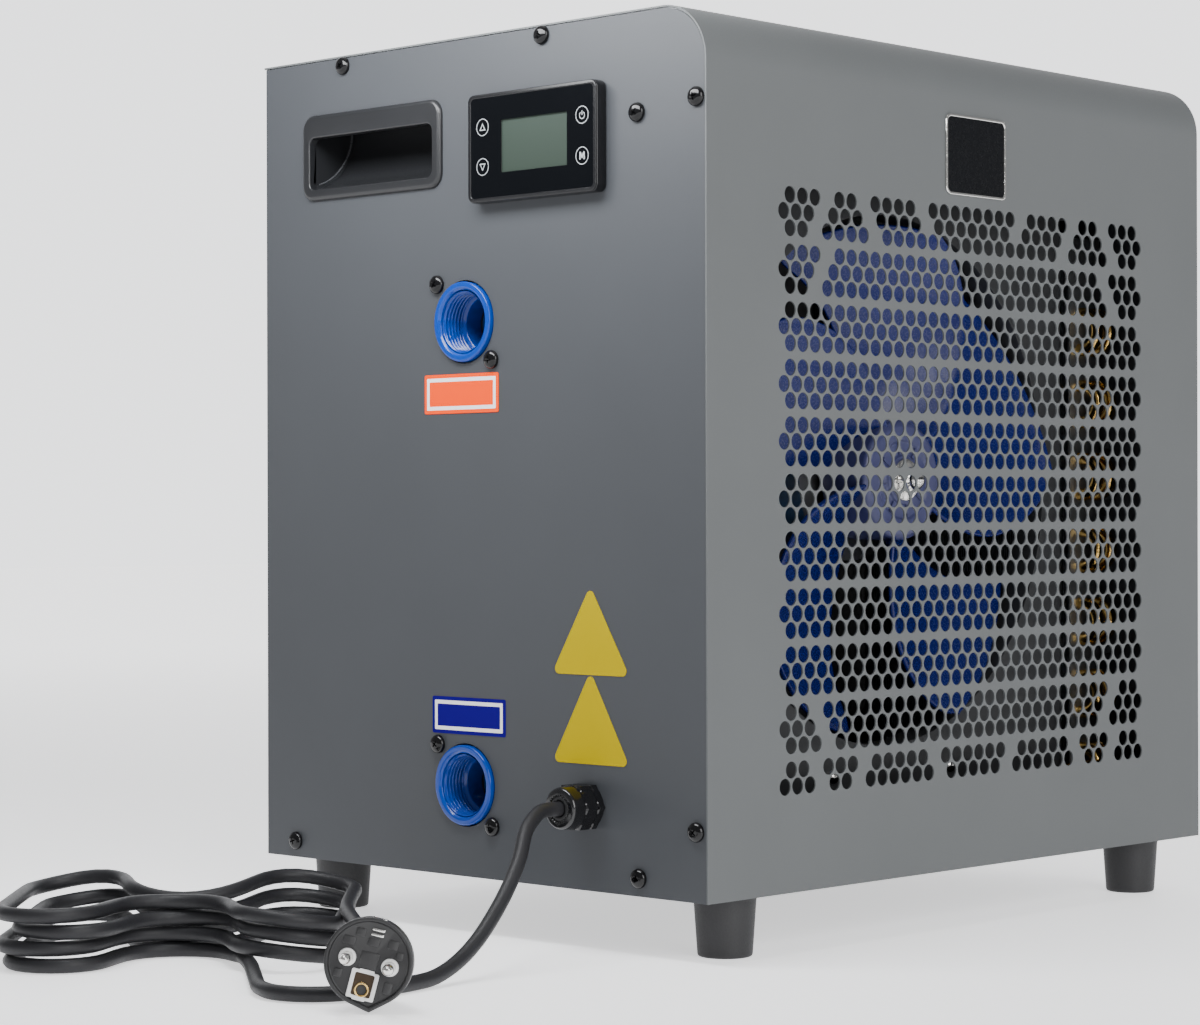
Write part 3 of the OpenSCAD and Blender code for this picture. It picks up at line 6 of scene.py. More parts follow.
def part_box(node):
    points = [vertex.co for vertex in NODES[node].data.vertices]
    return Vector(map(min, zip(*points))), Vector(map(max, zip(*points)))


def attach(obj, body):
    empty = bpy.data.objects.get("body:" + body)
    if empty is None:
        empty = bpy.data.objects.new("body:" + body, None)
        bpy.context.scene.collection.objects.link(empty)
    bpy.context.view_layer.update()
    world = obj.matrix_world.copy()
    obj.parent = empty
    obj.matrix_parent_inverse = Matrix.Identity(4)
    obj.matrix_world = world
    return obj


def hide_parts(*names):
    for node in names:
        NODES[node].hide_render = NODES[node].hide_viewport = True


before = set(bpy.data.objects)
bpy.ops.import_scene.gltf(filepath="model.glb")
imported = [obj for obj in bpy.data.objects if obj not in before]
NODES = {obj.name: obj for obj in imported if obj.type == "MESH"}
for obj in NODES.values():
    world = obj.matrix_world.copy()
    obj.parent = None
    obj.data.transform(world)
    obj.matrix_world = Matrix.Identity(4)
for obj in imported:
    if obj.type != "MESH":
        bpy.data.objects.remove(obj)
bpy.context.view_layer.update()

# The case in millimetres: width, depth, height, feet, its corner in the frame, the cover's bend, the sheet
W, D, H, FOOT = 423.0, 324.0, 430.0, 30.0
X0, Y0 = -201.55, -162.7
BEND, SHEET = 28.0, 1.0
SMALL = 1e-7


# Places are written in the part's own millimetres from the case's corner
def P(s, t, z):
    return Vector(((X0 + s) / 1000, (Y0 + t) / 1000, (FOOT + z) / 1000))


def lerp(a, b, k):
    return a + (b - a) * k


def linked(name, data):
    o = bpy.data.objects.new(name, data)
    bpy.context.scene.collection.objects.link(o)
    return o


# Camera
cam = linked("camera", bpy.data.cameras.new("camera"))
cam.data.lens = 91.3
cam.data.sensor_width = 36
cam.data.clip_end = 50
look = Vector((0.7221, 0.6918, 0)).normalized()
tilt = Matrix.Rotation(radians(0.134), 3, look)
cam.location = Vector((-1278.25, -1123.9, 216.3)) / 1000
cam.rotation_euler = (tilt @ look.to_track_quat("-Z", "Y").to_matrix()).to_euler()
bpy.context.scene.camera = cam


# Materials: every one has its own colour variation, roughness variation and bump
def map_range(t, source, from_min, from_max, to_min=0, to_max=1, smooth=False):
    n = t.nodes.new("ShaderNodeMapRange")
    if smooth:
        n.interpolation_type = "SMOOTHSTEP"
    for key, v in zip(("From Min", "From Max", "To Min", "To Max"), (from_min, from_max, to_min, to_max)):
        n.inputs[key].default_value = v
    t.links.new(source, n.inputs["Value"])
    return n.outputs["Result"]


def two_colours(t, source, low, high, places=(0, 1)):
    ramp = t.nodes.new("ShaderNodeValToRGB")
    for e, place, color in zip(ramp.color_ramp.elements, places, (low, high)):
        e.position = place
        e.color = (*color, 1)
    t.links.new(source, ramp.inputs["Fac"])
    return ramp.outputs["Color"]


def material(name, color, rough, metal=0.0, grain=0.0, grain_size=0.002, tint=0.06, tint_size=0.08,
             rough_spread=0.06, coat=0.0, specular=0.5, stretch=(1, 1, 1), wear=None, emission=0.0):
    """wear is how much the edges lighten, and to which colour."""
    m = bpy.data.materials.new(name)
    m.use_nodes = True
    t = m.node_tree
    new, link, b = t.nodes.new, t.links.new, t.nodes["Principled BSDF"].inputs
    mapping = new("ShaderNodeMapping")
    mapping.inputs["Scale"].default_value = stretch
    link(new("ShaderNodeTexCoord").outputs["Object"], mapping.inputs["Vector"])

    def noise(size, detail):
        n = new("ShaderNodeTexNoise")
        n.inputs["Scale"].default_value = 1 / size
        n.inputs["Detail"].default_value = detail
        link(mapping.outputs["Vector"], n.inputs["Vector"])
        return n.outputs["Fac"]

    dark, light = [c * (1 - tint) for c in color], [min(1, c * (1 + tint)) for c in color]
    out = two_colours(t, noise(tint_size, 4), dark, light, (0.3, 0.7))
    if wear:
        mix = new("ShaderNodeMix")
        mix.data_type = "RGBA"
        mix.inputs[7].default_value = (*wear[1], 1)
        edge = new("ShaderNodeNewGeometry").outputs["Pointiness"]
        link(map_range(t, edge, 0.52, 0.62, 0, wear[0]), mix.inputs[0])
        link(out, mix.inputs[6])
        out = mix.outputs[2]
    link(out, b["Base Color"])
    fine = noise(grain_size, 3)
    low, high = max(0.02, rough - rough_spread), min(1, rough + rough_spread)
    link(map_range(t, fine, 0.3, 0.7, low, high), b["Roughness"])
    if grain:
        bump = new("ShaderNodeBump")
        bump.inputs["Strength"].default_value = grain
        bump.inputs["Distance"].default_value = grain_size * 0.4
        link(fine, bump.inputs["Height"])
        link(bump.outputs["Normal"], b["Normal"])
    b["Metallic"].default_value = metal
    b["Specular IOR Level"].default_value = specular
    b["Coat Weight"].default_value = coat
    b["Coat Roughness"].default_value = 0.1
    b["IOR"].default_value = 1.5
    if emission:
        b["Emission Color"].default_value = (*color, 1)
        b["Emission Strength"].default_value = emission
    m.diffuse_color = (*color, 1)
    return m


PAINT = dict(grain=0.10, grain_size=0.0006, tint=0.03, rough_spread=0.05)
FILM = dict(grain=0.04, grain_size=0.0012, tint=0.02)
LOOKS = dict(
    case_paint=((0.100, 0.106, 0.108), 0.56, dict(PAINT, specular=0.28)),
    # the side panels take a darker copy of the case paint: painted shade, as they wear the same paint as the front
    panel_paint=((0.046, 0.0495, 0.0555), 0.48, dict(PAINT, specular=0.35)),
    galvanised=((0.36, 0.37, 0.38), 0.38,
                dict(metal=0.8, grain=0.05, grain_size=0.004, tint=0.18, tint_size=0.02, rough_spread=0.1)),
    plate_grey=((0.024, 0.025, 0.027), 0.45, dict(grain=0.08, grain_size=0.0008, tint=0.05)),
    foot_rubber=((0.008, 0.008, 0.0093), 0.55,
                 dict(grain=0.25, grain_size=0.0009, tint=0.12, wear=(0.3, (0.08, 0.08, 0.08)))),
    zinc=((0.55, 0.55, 0.53), 0.25, dict(metal=1.0, grain=0.05, tint=0.1, tint_size=0.01)),
    black_screw=((0.003, 0.003, 0.0035), 0.12,
                 dict(grain=0.006, grain_size=0.003, tint=0.1, specular=0.35, rough_spread=0.01)),
    black_plastic=((0.012, 0.012, 0.0135), 0.42,
                   dict(grain=0.22, grain_size=0.0007, tint=0.1, wear=(0.25, (0.05, 0.05, 0.055)))),
    handle_plastic=((0.010, 0.0105, 0.012), 0.34,
                    dict(grain=0.05, grain_size=0.0007, tint=0.12, wear=(0.3, (0.06, 0.06, 0.065)))),
    # a lighter plastic for the bead along the pocket's crease: a painted highlight
    handle_highlight_line=((0.05, 0.052, 0.056), 0.3, dict(grain=0.02, tint=0.05)),
    # a lighter copy of the handle's black plastic for its pocket: painted light inside, where little light reaches
    lit_pocket_plastic=((0.012, 0.0125, 0.014), 0.34, dict(grain=0.06, grain_size=0.0008, tint=0.1)),
    badge_plastic=((0.003, 0.0034, 0.0045), 0.25, dict(grain=0.003, tint=0.08, specular=0.2)),
    # the orange and blue label films glow a little by emission: painted light that brightens them
    label_film=((0.80, 0.055, 0.0), 0.7, dict(FILM, specular=0.0, emission=0.3)),
    label_blue=((0.012, 0.001, 0.14), 0.7, dict(FILM, specular=0.0, emission=0.2)),
    label_white=((0.86, 0.86, 0.88), 0.45, dict(FILM, grain=0.05)),
    yellow_film=((0.44, 0.33, 0.0), 0.8, dict(FILM, specular=0.0)),
    key_ink=((0.33, 0.345, 0.36), 0.5, dict(grain=0.02, tint=0.02, specular=0.2)),
    display_front=((0.0026, 0.003, 0.0038), 0.14,
                   dict(grain=0.004, grain_size=0.004, tint=0.08, specular=0.06, rough_spread=0.03)),
    display_case=((0.005, 0.0052, 0.0062), 0.26,
                  dict(grain=0.003, grain_size=0.004, tint=0.08, specular=0.4, rough_spread=0.008)),
    circuit_board=((0.015, 0.11, 0.045), 0.4, dict(grain=0.2, tint=0.15, coat=0.3)),
    blue_plastic=((0.0, 0.036, 0.27), 0.15,
                  dict(grain=0.004, grain_size=0.003, tint=0.04, specular=0.4, rough_spread=0.015)),
    cord_rubber=((0.015, 0.015, 0.017), 0.5,
                 dict(grain=0.05, grain_size=0.0012, tint=0.08, tint_size=0.03, specular=0.3)),
    plug_rubber=((0.017, 0.017, 0.018), 0.42,
                 dict(grain=0.2, grain_size=0.0008, tint=0.1, wear=(0.3, (0.07, 0.07, 0.07)))),
    nickel=((0.80, 0.79, 0.76), 0.13, dict(metal=1.0, grain=0.03, tint=0.05, tint_size=0.01)),
    pin_collar=((0.75, 0.75, 0.74), 0.35, dict(grain=0.03, tint=0.04, tint_size=0.01)),
    brass=((0.72, 0.5, 0.2), 0.22, dict(metal=1.0, grain=0.05, tint=0.12, tint_size=0.006)),
    earth_brown=((0.045, 0.028, 0.014), 0.35,
                 dict(metal=0.4, grain=0.1, grain_size=0.001, tint=0.2, tint_size=0.004)),
    gland_plastic=((0.005, 0.005, 0.006), 0.16, dict(grain=0.01, grain_size=0.003, tint=0.08, specular=0.6)),
    fan_plastic=((0.001, 0.008, 0.11), 0.27,
                 dict(grain=0.006, grain_size=0.0012, specular=0.45, rough_spread=0.015)),
    hub_plastic=((0.05, 0.055, 0.15), 0.35, dict(grain=0.08, grain_size=0.0012, tint=0.08, coat=0.2)),
    steel=((0.6, 0.6, 0.6), 0.2, dict(metal=1.0, grain=0.04)),
    motor_metal=((0.5, 0.51, 0.52), 0.35, dict(metal=0.9, grain=0.15, grain_size=0.001, tint=0.1)),
    copper_wound=((0.5, 0.18, 0.06), 0.35,
                  dict(metal=0.6, grain=0.5, grain_size=0.0012, tint=0.15, stretch=(1, 6, 1))),
    board_parts=((0.05, 0.055, 0.08), 0.4, dict(grain=0.1, tint=0.15)),
    compressor_paint=((0.012, 0.012, 0.013), 0.3, dict(grain=0.12, tint=0.1, coat=0.3)),
    fin_metal=((0.62, 0.66, 0.7), 0.32, dict(metal=1.0, grain=0.08, tint=0.08)),
    copper=((0.95, 0.58, 0.18), 0.16, dict(metal=1.0, grain=0.04, tint=0.15, tint_size=0.015)),
    exchanger_plastic=((0.03, 0.16, 0.42), 0.35, dict(grain=0.08, coat=0.2)),
    titanium=((0.45, 0.44, 0.42), 0.3, dict(metal=1.0, grain=0.05, tint=0.1)),
    paddle_plastic=((0.7, 0.22, 0.03), 0.35, dict(grain=0.05, tint=0.05)),
    insulation=((0.016, 0.016, 0.017), 0.85, dict(grain=0.6, grain_size=0.0016, tint=0.12)))
M = {name: material(name, color, rough, **rest) for name, (color, rough, rest) in LOOKS.items()}


def lcd_material():
    """A dark grey-green window, faintly lit, with a painted sheen that makes it a little lighter at its top."""
    m = material("lcd", (0.17, 0.215, 0.17), 0.4, rough_spread=0.005, tint=0.01, specular=0.15)
    t = m.node_tree
    b = t.nodes["Principled BSDF"].inputs
    sep = t.nodes.new("ShaderNodeSeparateXYZ")
    t.links.new(t.nodes.new("ShaderNodeTexCoord").outputs["Object"], sep.inputs[0])
    lo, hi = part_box("display_lcd")
    # painted sheen: the colour, and the glow with it, lightens towards the window's top
    sheen_height = map_range(t, sep.outputs["Z"], lo[2], hi[2])
    color = two_colours(t, sheen_height, (0.021, 0.031, 0.024), (0.025, 0.036, 0.029))
    t.links.new(color, b["Base Color"])
    t.links.new(color, b["Emission Color"])
    b["Emission Strength"].default_value = 0.18
    return m


M["lcd"] = lcd_material()

# A piece's slot would be its material's name, or the one given here; new_object works it out but sets it nowhere
SLOTS = dict(plug_rubber="cord_rubber", pin_collar="nickel", earth_brown="brass", gland_plastic="black_plastic",
             display_case="black_plastic", handle_plastic="black_plastic", lit_pocket_plastic="black_plastic",
             handle_highlight_line="black_plastic", label_blue="label_film", label_white="label_film",
             key_ink="display_front", hub_plastic="fan_plastic")


# Mesh helpers
def new_object(name, mesh, mat, body="case", stands_for=(), slot=None, smooth=True, angle=35):
    o = linked(name, mesh)
    o.data.materials.append(M[mat])
    if body:
        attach(o, body)
    if stands_for:
        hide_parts(*([stands_for] if isinstance(stands_for, str) else stands_for))
    if body:
        slot or SLOTS.get(mat, mat)
    if smooth:
        soften(o, angle)
    return o


def soften(o, angle):
    bm = bmesh.new()
    bm.from_mesh(o.data)
    for f in bm.faces:
        f.smooth = True
    for e in bm.edges:
        e.smooth = len(e.link_faces) == 2 and e.calc_face_angle(0) <= radians(angle)
    bm.to_mesh(o.data)
    bm.free()


def mesh_from(bm, name, recalc=True):
    if recalc:
        bmesh.ops.recalc_face_normals(bm, faces=bm.faces)
    me = bpy.data.meshes.new(name)
    bm.to_mesh(me)
    bm.free()
    return me


def mesh_of(verts, faces, name, weld=False, recalc=True):
    raw = bpy.data.meshes.new(name)
    raw.from_pydata([tuple(v) for v in verts], [], faces)
    raw.validate()
    raw.update()
    bm = bmesh.new()
    bm.from_mesh(raw)
    bpy.data.meshes.remove(raw)
    if weld:
        bmesh.ops.remove_doubles(bm, verts=bm.verts, dist=SMALL)
        bmesh.ops.dissolve_degenerate(bm, edges=bm.edges, dist=SMALL / 10)
    return mesh_from(bm, name, recalc)


def quads(rows, n, closed=True):
    """The faces between rows of n points."""
    return [(i * n + k, i * n + (k + 1) % n, (i + 1) * n + (k + 1) % n, (i + 1) * n + k)
            for i in range(rows - 1) for k in range(n if closed else n - 1)]


def rings_mesh(name, rings, caps=()):
    """Rings of equal point counts, joined in order; caps names the rings that are filled."""
    n = len(rings[0])
    faces = quads(len(rings), n)
    for c in caps:
        base = c % len(rings) * n
        faces.append(tuple(range(base, base + n)))
    return mesh_of([p for r in rings for p in r], faces, name, weld=True)


def join(name, parts, mat, **kw):
    """One piece made of several loose ones that ride on nothing yet."""
    bm = bmesh.new()
    for o in parts:
        bm.from_mesh(o.data)
        bpy.data.objects.remove(o)
    return new_object(name, mesh_from(bm, name, False), mat, **kw)


def evaluated_mesh(o):
    return bpy.data.meshes.new_from_object(o.evaluated_get(bpy.context.evaluated_depsgraph_get()))


def rounded_rect(w, h, r, n=8, cx=0, cy=0):
    pts = []
    for k, (sx, sy) in enumerate(((1, 1), (-1, 1), (-1, -1), (1, -1))):
        for i in range(n + 1):
            a = pi / 2 * (k + i / n)
            pts.append((cx + sx * (w / 2 - r) + r * cos(a), cy + sy * (h / 2 - r) + r * sin(a)))
    return pts


def circle_points(r, n=32, cx=0, cy=0):
    return [(cx + r * cos(2 * pi * i / n), cy + r * sin(2 * pi * i / n)) for i in range(n)]


# A flat plate with holes, in millimetres in its own plane, its thickness centred on the plane.
# The rims are rounded by "edge"; to_world maps (u, v, w) to metres, with w along the plate's normal.
# "cuts" are lines (point, direction across) along which the flat sheet may fold.
def plate(name, loops, thick, edge, to_world, mat, body="case", edge_segments=2, cuts=(), angle=12, **kw):
    cu = bpy.data.curves.new(name, "CURVE")
    cu.dimensions = "2D"
    cu.fill_mode = "BOTH"
    cu.extrude = thick / 2 - edge
    cu.bevel_depth = edge
    cu.bevel_resolution = edge_segments - 1
    cu.offset = -edge
    for pts in loops:
        sp = cu.splines.new("POLY")
        sp.points.add(len(pts) - 1)
        for q, (u, v) in zip(sp.points, pts):
            q.co = (u, v, 0, 1)
        sp.use_cyclic_u = True
    flat = linked(name, cu)
    raw = evaluated_mesh(flat)
    bm = bmesh.new()
    bm.from_mesh(raw)
    bpy.data.objects.remove(flat)
    bpy.data.meshes.remove(raw)
    bmesh.ops.remove_doubles(bm, verts=bm.verts, dist=0.0005)
    for at, across in cuts:
        bmesh.ops.bisect_plane(bm, geom=bm.verts[:] + bm.edges[:] + bm.faces[:], plane_co=at, plane_no=across,
                               dist=1e-6)
    for v in bm.verts:
        v.co = to_world(*v.co)
    return new_object(name, mesh_from(bm, name), mat, body, angle=angle, **kw)


def side_plane(s_mid):
    return lambda u, v, w: P(s_mid - w, u, v)


def front_plane(t_mid):
    return lambda u, v, w: P(u, t_mid - w, v)


# Surface of revolution: profile is (along, radius) in millimetres; place maps (along, y, z) to metres
def lathe(name, profile, place, mat, body="case", n=64, angle=30, **kw):
    m = len(profile)
    turns = [2 * pi * k / n for k in range(n)]
    verts = [place(x, r * cos(a), r * sin(a)) for a in turns for x, r in profile]
    faces = [(k * m + i, k * m + i + 1, (k + 1) % n * m + i + 1, (k + 1) % n * m + i)
             for k in range(n) for i in range(m - 1)]
    return new_object(name, mesh_of(verts, faces, name, weld=True), mat, body, angle=angle, **kw)


def out_of_left(t, z):
    return lambda a, u, v: P(-a, t + u, z + v)


def along_y(s, z):
    return lambda a, u, v: P(s + u, a, z + v)


def along_z(s, t):
    return lambda a, u, v: P(s + u, t + v, a)


def rounded_corner(a, b, c, share, r, n):
    """Points that round the corner b by r, or by a share of its shorter side."""
    u, v = a - b, c - b
    d = min(r, u.length * share, v.length * share)
    p0, p2 = b + u.normalized() * d, b + v.normalized() * d
    return [p0 * (1 - q) ** 2 + b * 2 * q * (1 - q) + p2 * q * q for q in (k / n for k in range(n + 1))]


def fillet(points, r, n=4):
    """Profile points with every inner corner rounded by r (or by the third number of the point)."""
    out = []
    for i, p in enumerate(points):
        rr = p[2] if len(p) > 2 else r
        if i == 0 or i == len(points) - 1 or rr <= 0:
            out.append(p[:2])
        else:
            a, b, c = (Vector(points[i + k][:2]) for k in (-1, 0, 1))
            out += [w[:] for w in rounded_corner(a, b, c, 0.49, rr, n)]
    return out


def tube_curve(name, points, radius, mat, **kw):
    cu = bpy.data.curves.new(name, "CURVE")
    cu.dimensions = "3D"
    cu.bevel_depth = radius
    cu.bevel_resolution = 6
    cu.use_fill_caps = True
    sp = cu.splines.new("POLY")
    sp.points.add(len(points) - 1)
    for q, p in zip(sp.points, points):
        q.co = (*p, 1)
    sp.use_smooth = True
    return new_object(name, cu, mat, smooth=False, **kw)


def smooth_path(points, per):
    """Catmull-Rom spline through the points."""
    pts = [Vector(p) for p in points]
    ext = [pts[0] * 2 - pts[1]] + pts + [pts[-1] * 2 - pts[-2]]
    out = []
    for i in range(1, len(ext) - 2):
        p0, p1, p2, p3 = ext[i - 1:i + 3]
        for k in range(per):
            q = k / per
            out.append(0.5 * ((2 * p1) + (p2 - p0) * q + (2 * p0 - 5 * p1 + 4 * p2 - p3) * q * q
                              + (3 * p1 - p0 - 3 * p2 + p3) * q ** 3))
    out.append(pts[-1])
    return out


# The cord: the route's points are the part's own, in millimetres
CORD_D = 7.2
LEAD = [(-238.5, -85, 70.4), (-249.5, -88.6, 63.4), (-259.5, -94, 51), (-270.5, -98, 39.5), (-283.5, -101.5, 28),
        (-297.5, -104.5, 17.5), (-312.5, -107, 9.5), (-328.5, -109.5, 4.8), (-343.5, -111, 3.8), (-358.5, -112, 3.8),
        (-373.5, -112, 3.8), (-388.5, -108, 3.8), (-399.5, -98, 3.8), (-403.5, -84, 3.8), (-398.5, -69, 3.8),
        (-389.5, -56, 3.8), (-380.5, -44, 3.8), (-371.5, -32, 3.8), (-362.5, -20, 3.8), (-353.5, -7, 3.8),
        (-346.5, 4, 3.8)]
TAIL = [(-307.5, -25, 26.6), (-316.5, -37, 25.6), (-325.5, -51, 24.2), (-334.5, -65, 22.6), (-343.5, -79, 21),
        (-352.5, -91, 19.9)]
# The hank runs from turn "start" to turn "to", with "rings" points in each and a "step" up at its crossing
HANK = dict(x=-344.5, y=53, turn=-46, half=81, waist=5, waist_r=30, lobe_r=24.4, lean=74, step=7.8, rings=24,
            start=0.2, to=4, draw=0.05, soft=40, climb=(0.03, 0.15))
PLUG = dict(x=-399.5, y=-143, z=22.4, turn=224.6, roll=-14.6, pitch=5)
# How far the hank strays from the ideal one: its left ends, right ends and waists in turn, and its arches
STRAY_LEFT = (2, -4, 4, -3)
STRAY_RIGHT = (0, -2, 1, -1, 0)
STRAY_WAIST = (0, -1, -3, -1, 3, 2, -3, -1)
ARCHES = (0.6, 1.8, 3.4, 5.2)


def ease(v):
    c = min(max(v, 0), 1)
    return c * c * (3 - 2 * c)


def hank_maker():
    h = HANK
    a = radians(h["lean"])
    slope = Vector((cos(a), sin(a)))

    def waist(q):
        return Vector((h["waist_r"] * sin(q), h["waist"] + h["waist_r"] * (1 - cos(q))))

    waist_end = waist(a)
    flank = (h["half"] - h["lobe_r"] * (1 + sin(a)) - waist_end.x) / cos(a)
    mid = waist_end + flank * slope + h["lobe_r"] * Vector((sin(a), -cos(a)))
    ls = [h["waist_r"] * a, flank, h["lobe_r"] * (a + pi / 2), mid.y]
    total = sum(ls)

    def quarter(s):
        if s < ls[0]:
            return waist(s / h["waist_r"])
        if s < ls[0] + ls[1]:
            return waist_end + (s - ls[0]) * slope
        if s < total - ls[3]:
            q = a - (s - ls[0] - ls[1]) / h["lobe_r"]
            return mid + h["lobe_r"] * Vector((-sin(q), cos(q)))
        return Vector((h["half"], total - s))

    def plan(u):
        f = (u - math.floor(u)) * 4
        k = int(math.floor(f))
        r = f - k
        p = quarter(total * (r if k % 2 else 1 - r))
        return Vector((p.x if k in (0, 3) else -p.x, -p.y if k < 2 else p.y))

    def layer(u):
        low, high = h["climb"]
        return max(0, math.floor(u) - 1 + ease((u - math.floor(u) - low) / (high - low)))

    def point(u):
        p = plan(u)
        k = h["draw"] * (1 - abs(u - h["to"] / 2) / (h["to"] / 2))
        x, y = p.x * (1 - k), p.y * (1 - k * ease(abs(p.x) / h["soft"]))
        # each lobe moves whole, so that its bend stays as wide as it was
        turn = min(int(u), 3)
        end = STRAY_RIGHT[min(int(u + 0.5), 4)] if p.x > 0 else STRAY_LEFT[turn]
        lobe = ease(abs(p.x) / 76)
        x += lobe * end + (1 - lobe) * STRAY_WAIST[min(int(2 * u), 7)]
        lift = ARCHES[turn] * ease(1 - abs(abs(p.x) - 44) / 44) * ease(0.5 + p.y / 50)
        c, s = cos(radians(h["turn"])), sin(radians(h["turn"]))
        lv = layer(u) if u < h["to"] else layer(h["to"] - 1 + h["climb"][1])
        return Vector((h["x"] + x * c - y * s, h["y"] + x * s + y * c, CORD_D / 2 + 0.2 + h["step"] * lv + lift))
    return point


def cord_points():
    hp = hank_maker()
    h = HANK
    d_in = (hp(h["start"] + 0.01) - hp(h["start"])).normalized()
    d_out = (hp(h["to"] - 0.01) - hp(h["to"] - 0.02)).normalized()
    first = math.ceil(h["start"] * h["rings"]) / h["rings"]
    count = round((h["to"] - 1 / h["rings"] - first) * h["rings"])
    fine = [hp(first + i / h["rings"] / 4) for i in range(4 * count + 1)]
    end = hp(first + count / h["rings"]) + 2 * CORD_D * d_out
    hank = [fine[0] - CORD_D * d_in] + fine + [end]
    leave = Vector((X0 - 22.5, Y0 + 79, FOOT + 42))
    lead = [leave, leave - Vector((CORD_D, 0, 0))] + [Vector(p) for p in LEAD] + [hank[0] - CORD_D * d_in, hank[0]]
    turn, pitch = radians(PLUG["turn"]), radians(PLUG["pitch"])
    ax = Vector((cos(turn) * cos(pitch), sin(turn) * cos(pitch), sin(pitch)))
    tail_end = Vector((PLUG["x"], PLUG["y"], PLUG["z"])) - 48 * ax
    tail = [end, end + CORD_D * d_out] + [Vector(p) for p in TAIL] + [tail_end - CORD_D * ax, tail_end]
    return [p / 1000 for p in smooth_path(lead, 5) + hank[1:] + smooth_path(tail, 5)[1:]]


cord_path = cord_points()
cord_length = sum((b - a).length for a, b in zip(cord_path, cord_path[1:]))
cord = tube_curve("mains_cord", cord_path, CORD_D / 2000, "cord_rubber",
                  stands_for=("cord_lead", "cord_hank", "cord_tail"))


# The plug, built in its own millimetres: face on x = 0, cord behind, then turned into place
def plug_place():
    turn = (Matrix.Rotation(radians(PLUG["turn"]), 4, "Z") @ Matrix.Rotation(radians(-PLUG["pitch"]), 4, "Y")
            @ Matrix.Rotation(radians(PLUG["roll"]), 4, "X"))
    at = Matrix.Translation(Vector((PLUG["x"], PLUG["y"], PLUG["z"])) / 1000)
    m = at @ turn @ Matrix.Scale(0.001, 4)
    return lambda a, u, v: m @ Vector((a, u, v))


PL = plug_place()
PLUG_R, KEEL_R = 19.4, 21.6
EARTH_V = -12.2


def keeled(a, u, v):
    """The moulded body draws out to a soft keel below."""
    q = radians(PLUG["roll"])
    down = abs(math.atan2(u * cos(q) - v * sin(q), -(u * sin(q) + v * cos(q))))
    half = math.acos(PLUG_R / KEEL_R)
    k = 1 + (1 / cos(max(half - down, 0)) - 1) * ease((math.hypot(u, v) - 12) / 6)
    return PL(a, u * k, v * k)


def plug_plane(a_mid):
    return lambda u, v, w: PL(a_mid + w, u, v)


def plug_side(v_mid):
    return lambda u, across, w: PL(u, across, v_mid + w)


def shifted(du, dv):
    return lambda a, u, v: PL(a, u + du, v + dv)


PADS = ((0, 0.6, 8.0, 7.4), (-10.4, 7.2, 5.4, 3.8), (-6.4, 11.8, 4.2, 3.4), (8.6, 9.6, 4.4, 4.0),
        (12.4, 5.6, 3.2, 3.4), (-11.8, -7.4, 3.6, 3.8), (10.8, -9.0, 3.8, 5.0), (0, 8.9, 5.0, 3.4))
EARTH_FRAME = [(-6.1, -15.9), (-5.6, -16.3), (-3.4, -16.3), (-3.0, -16.9), (2.2, -16.9), (2.6, -16.3), (5.6, -16.3),
               (6.1, -15.9), (6.1, -4.6), (5.6, -4.1), (3.9, -4.1), (3.5, -3.2), (-2.6, -3.2), (-3.0, -3.7),
               (-5.6, -3.7), (-6.1, -4.2)]
plug_pieces = [lathe("plug_shell", fillet(
    [(-1.2, 0.01, 0), (-1.2, 17.2, 0.4), (0, 17.8, 0.3), (0, PLUG_R, 0.8), (-4.6, PLUG_R, 0.2),
     (-5.0, PLUG_R - 0.5, 0.1), (-5.8, PLUG_R - 0.5, 0.1), (-6.2, PLUG_R, 0.2), (-13, PLUG_R, 1.5),
     (-15, PLUG_R - 1.8, 2), (-22, 15.0, 5), (-27, 12.2, 4), (-34, 11.8, 3), (-35.6, 5.4, 1.5), (-48, 3.7, 0)], 0.4),
    keeled, "plug_rubber", n=96, angle=40, stands_for="plug_body")]
ribs = []
for k in range(5):
    a, r = -37.8 - 2.0 * k, lerp(5.6, 4.3, k / 4) + 0.1
    ribs.append(lathe("rib", fillet([(a, r - 1.4, 0), (a, r, 0.3), (a - 1.1, r, 0.3), (a - 1.1, r - 1.4, 0)], 0.3),
                      PL, "plug_rubber", None, n=40))
plug_pieces.append(join("plug_relief", ribs, "plug_rubber"))
pads = [plate("pad", [rounded_rect(w, h, 0.7, 4, u, v)], 0.7, 0.2, plug_plane(-1.1), "plug_rubber", None)
        for u, v, w, h in PADS]
plug_pieces.append(join("plug_face_blocks", pads, "plug_rubber"))
pins = [lathe("pin", fillet([(-2, 2.4, 0), (16.6, 2.4, 1.4), (19, 1.0, 0.8), (19, 0.01, 0)], 1.2, 6),
              shifted(u, 0), "nickel", None, n=36) for u in (-9.5, 9.5)]
collars = [lathe("collar", fillet([(-1.2, 2.4, 0), (0.4, 2.42, 0.2), (0.4, 3.7, 0.3), (-1.2, 3.9, 0)], 0.3),
                 shifted(u, 0), "pin_collar", None, n=36) for u in (-9.5, 9.5)]
plug_pieces.append(join("plug_pins_v", pins, "nickel", stands_for="plug_pins"))
plug_pieces.append(join("plug_pin_collars", collars, "pin_collar"))
plug_pieces.append(plate("plug_earth_frame", [EARTH_FRAME, rounded_rect(8.6, 9.9, 0.8, 5, 0, -10.0)], 1.2, 0.3,
                         plug_plane(-0.5), "pin_collar", stands_for="plug_earth"))
floor_loops = [rounded_rect(9.0, 10.3, 0.6, 4, 0, -10.0), circle_points(2.6, 32, 0, EARTH_V)]
plug_pieces.append(plate("plug_earth_floor", floor_loops, 0.6, 0.1, plug_plane(-0.95), "earth_brown"))
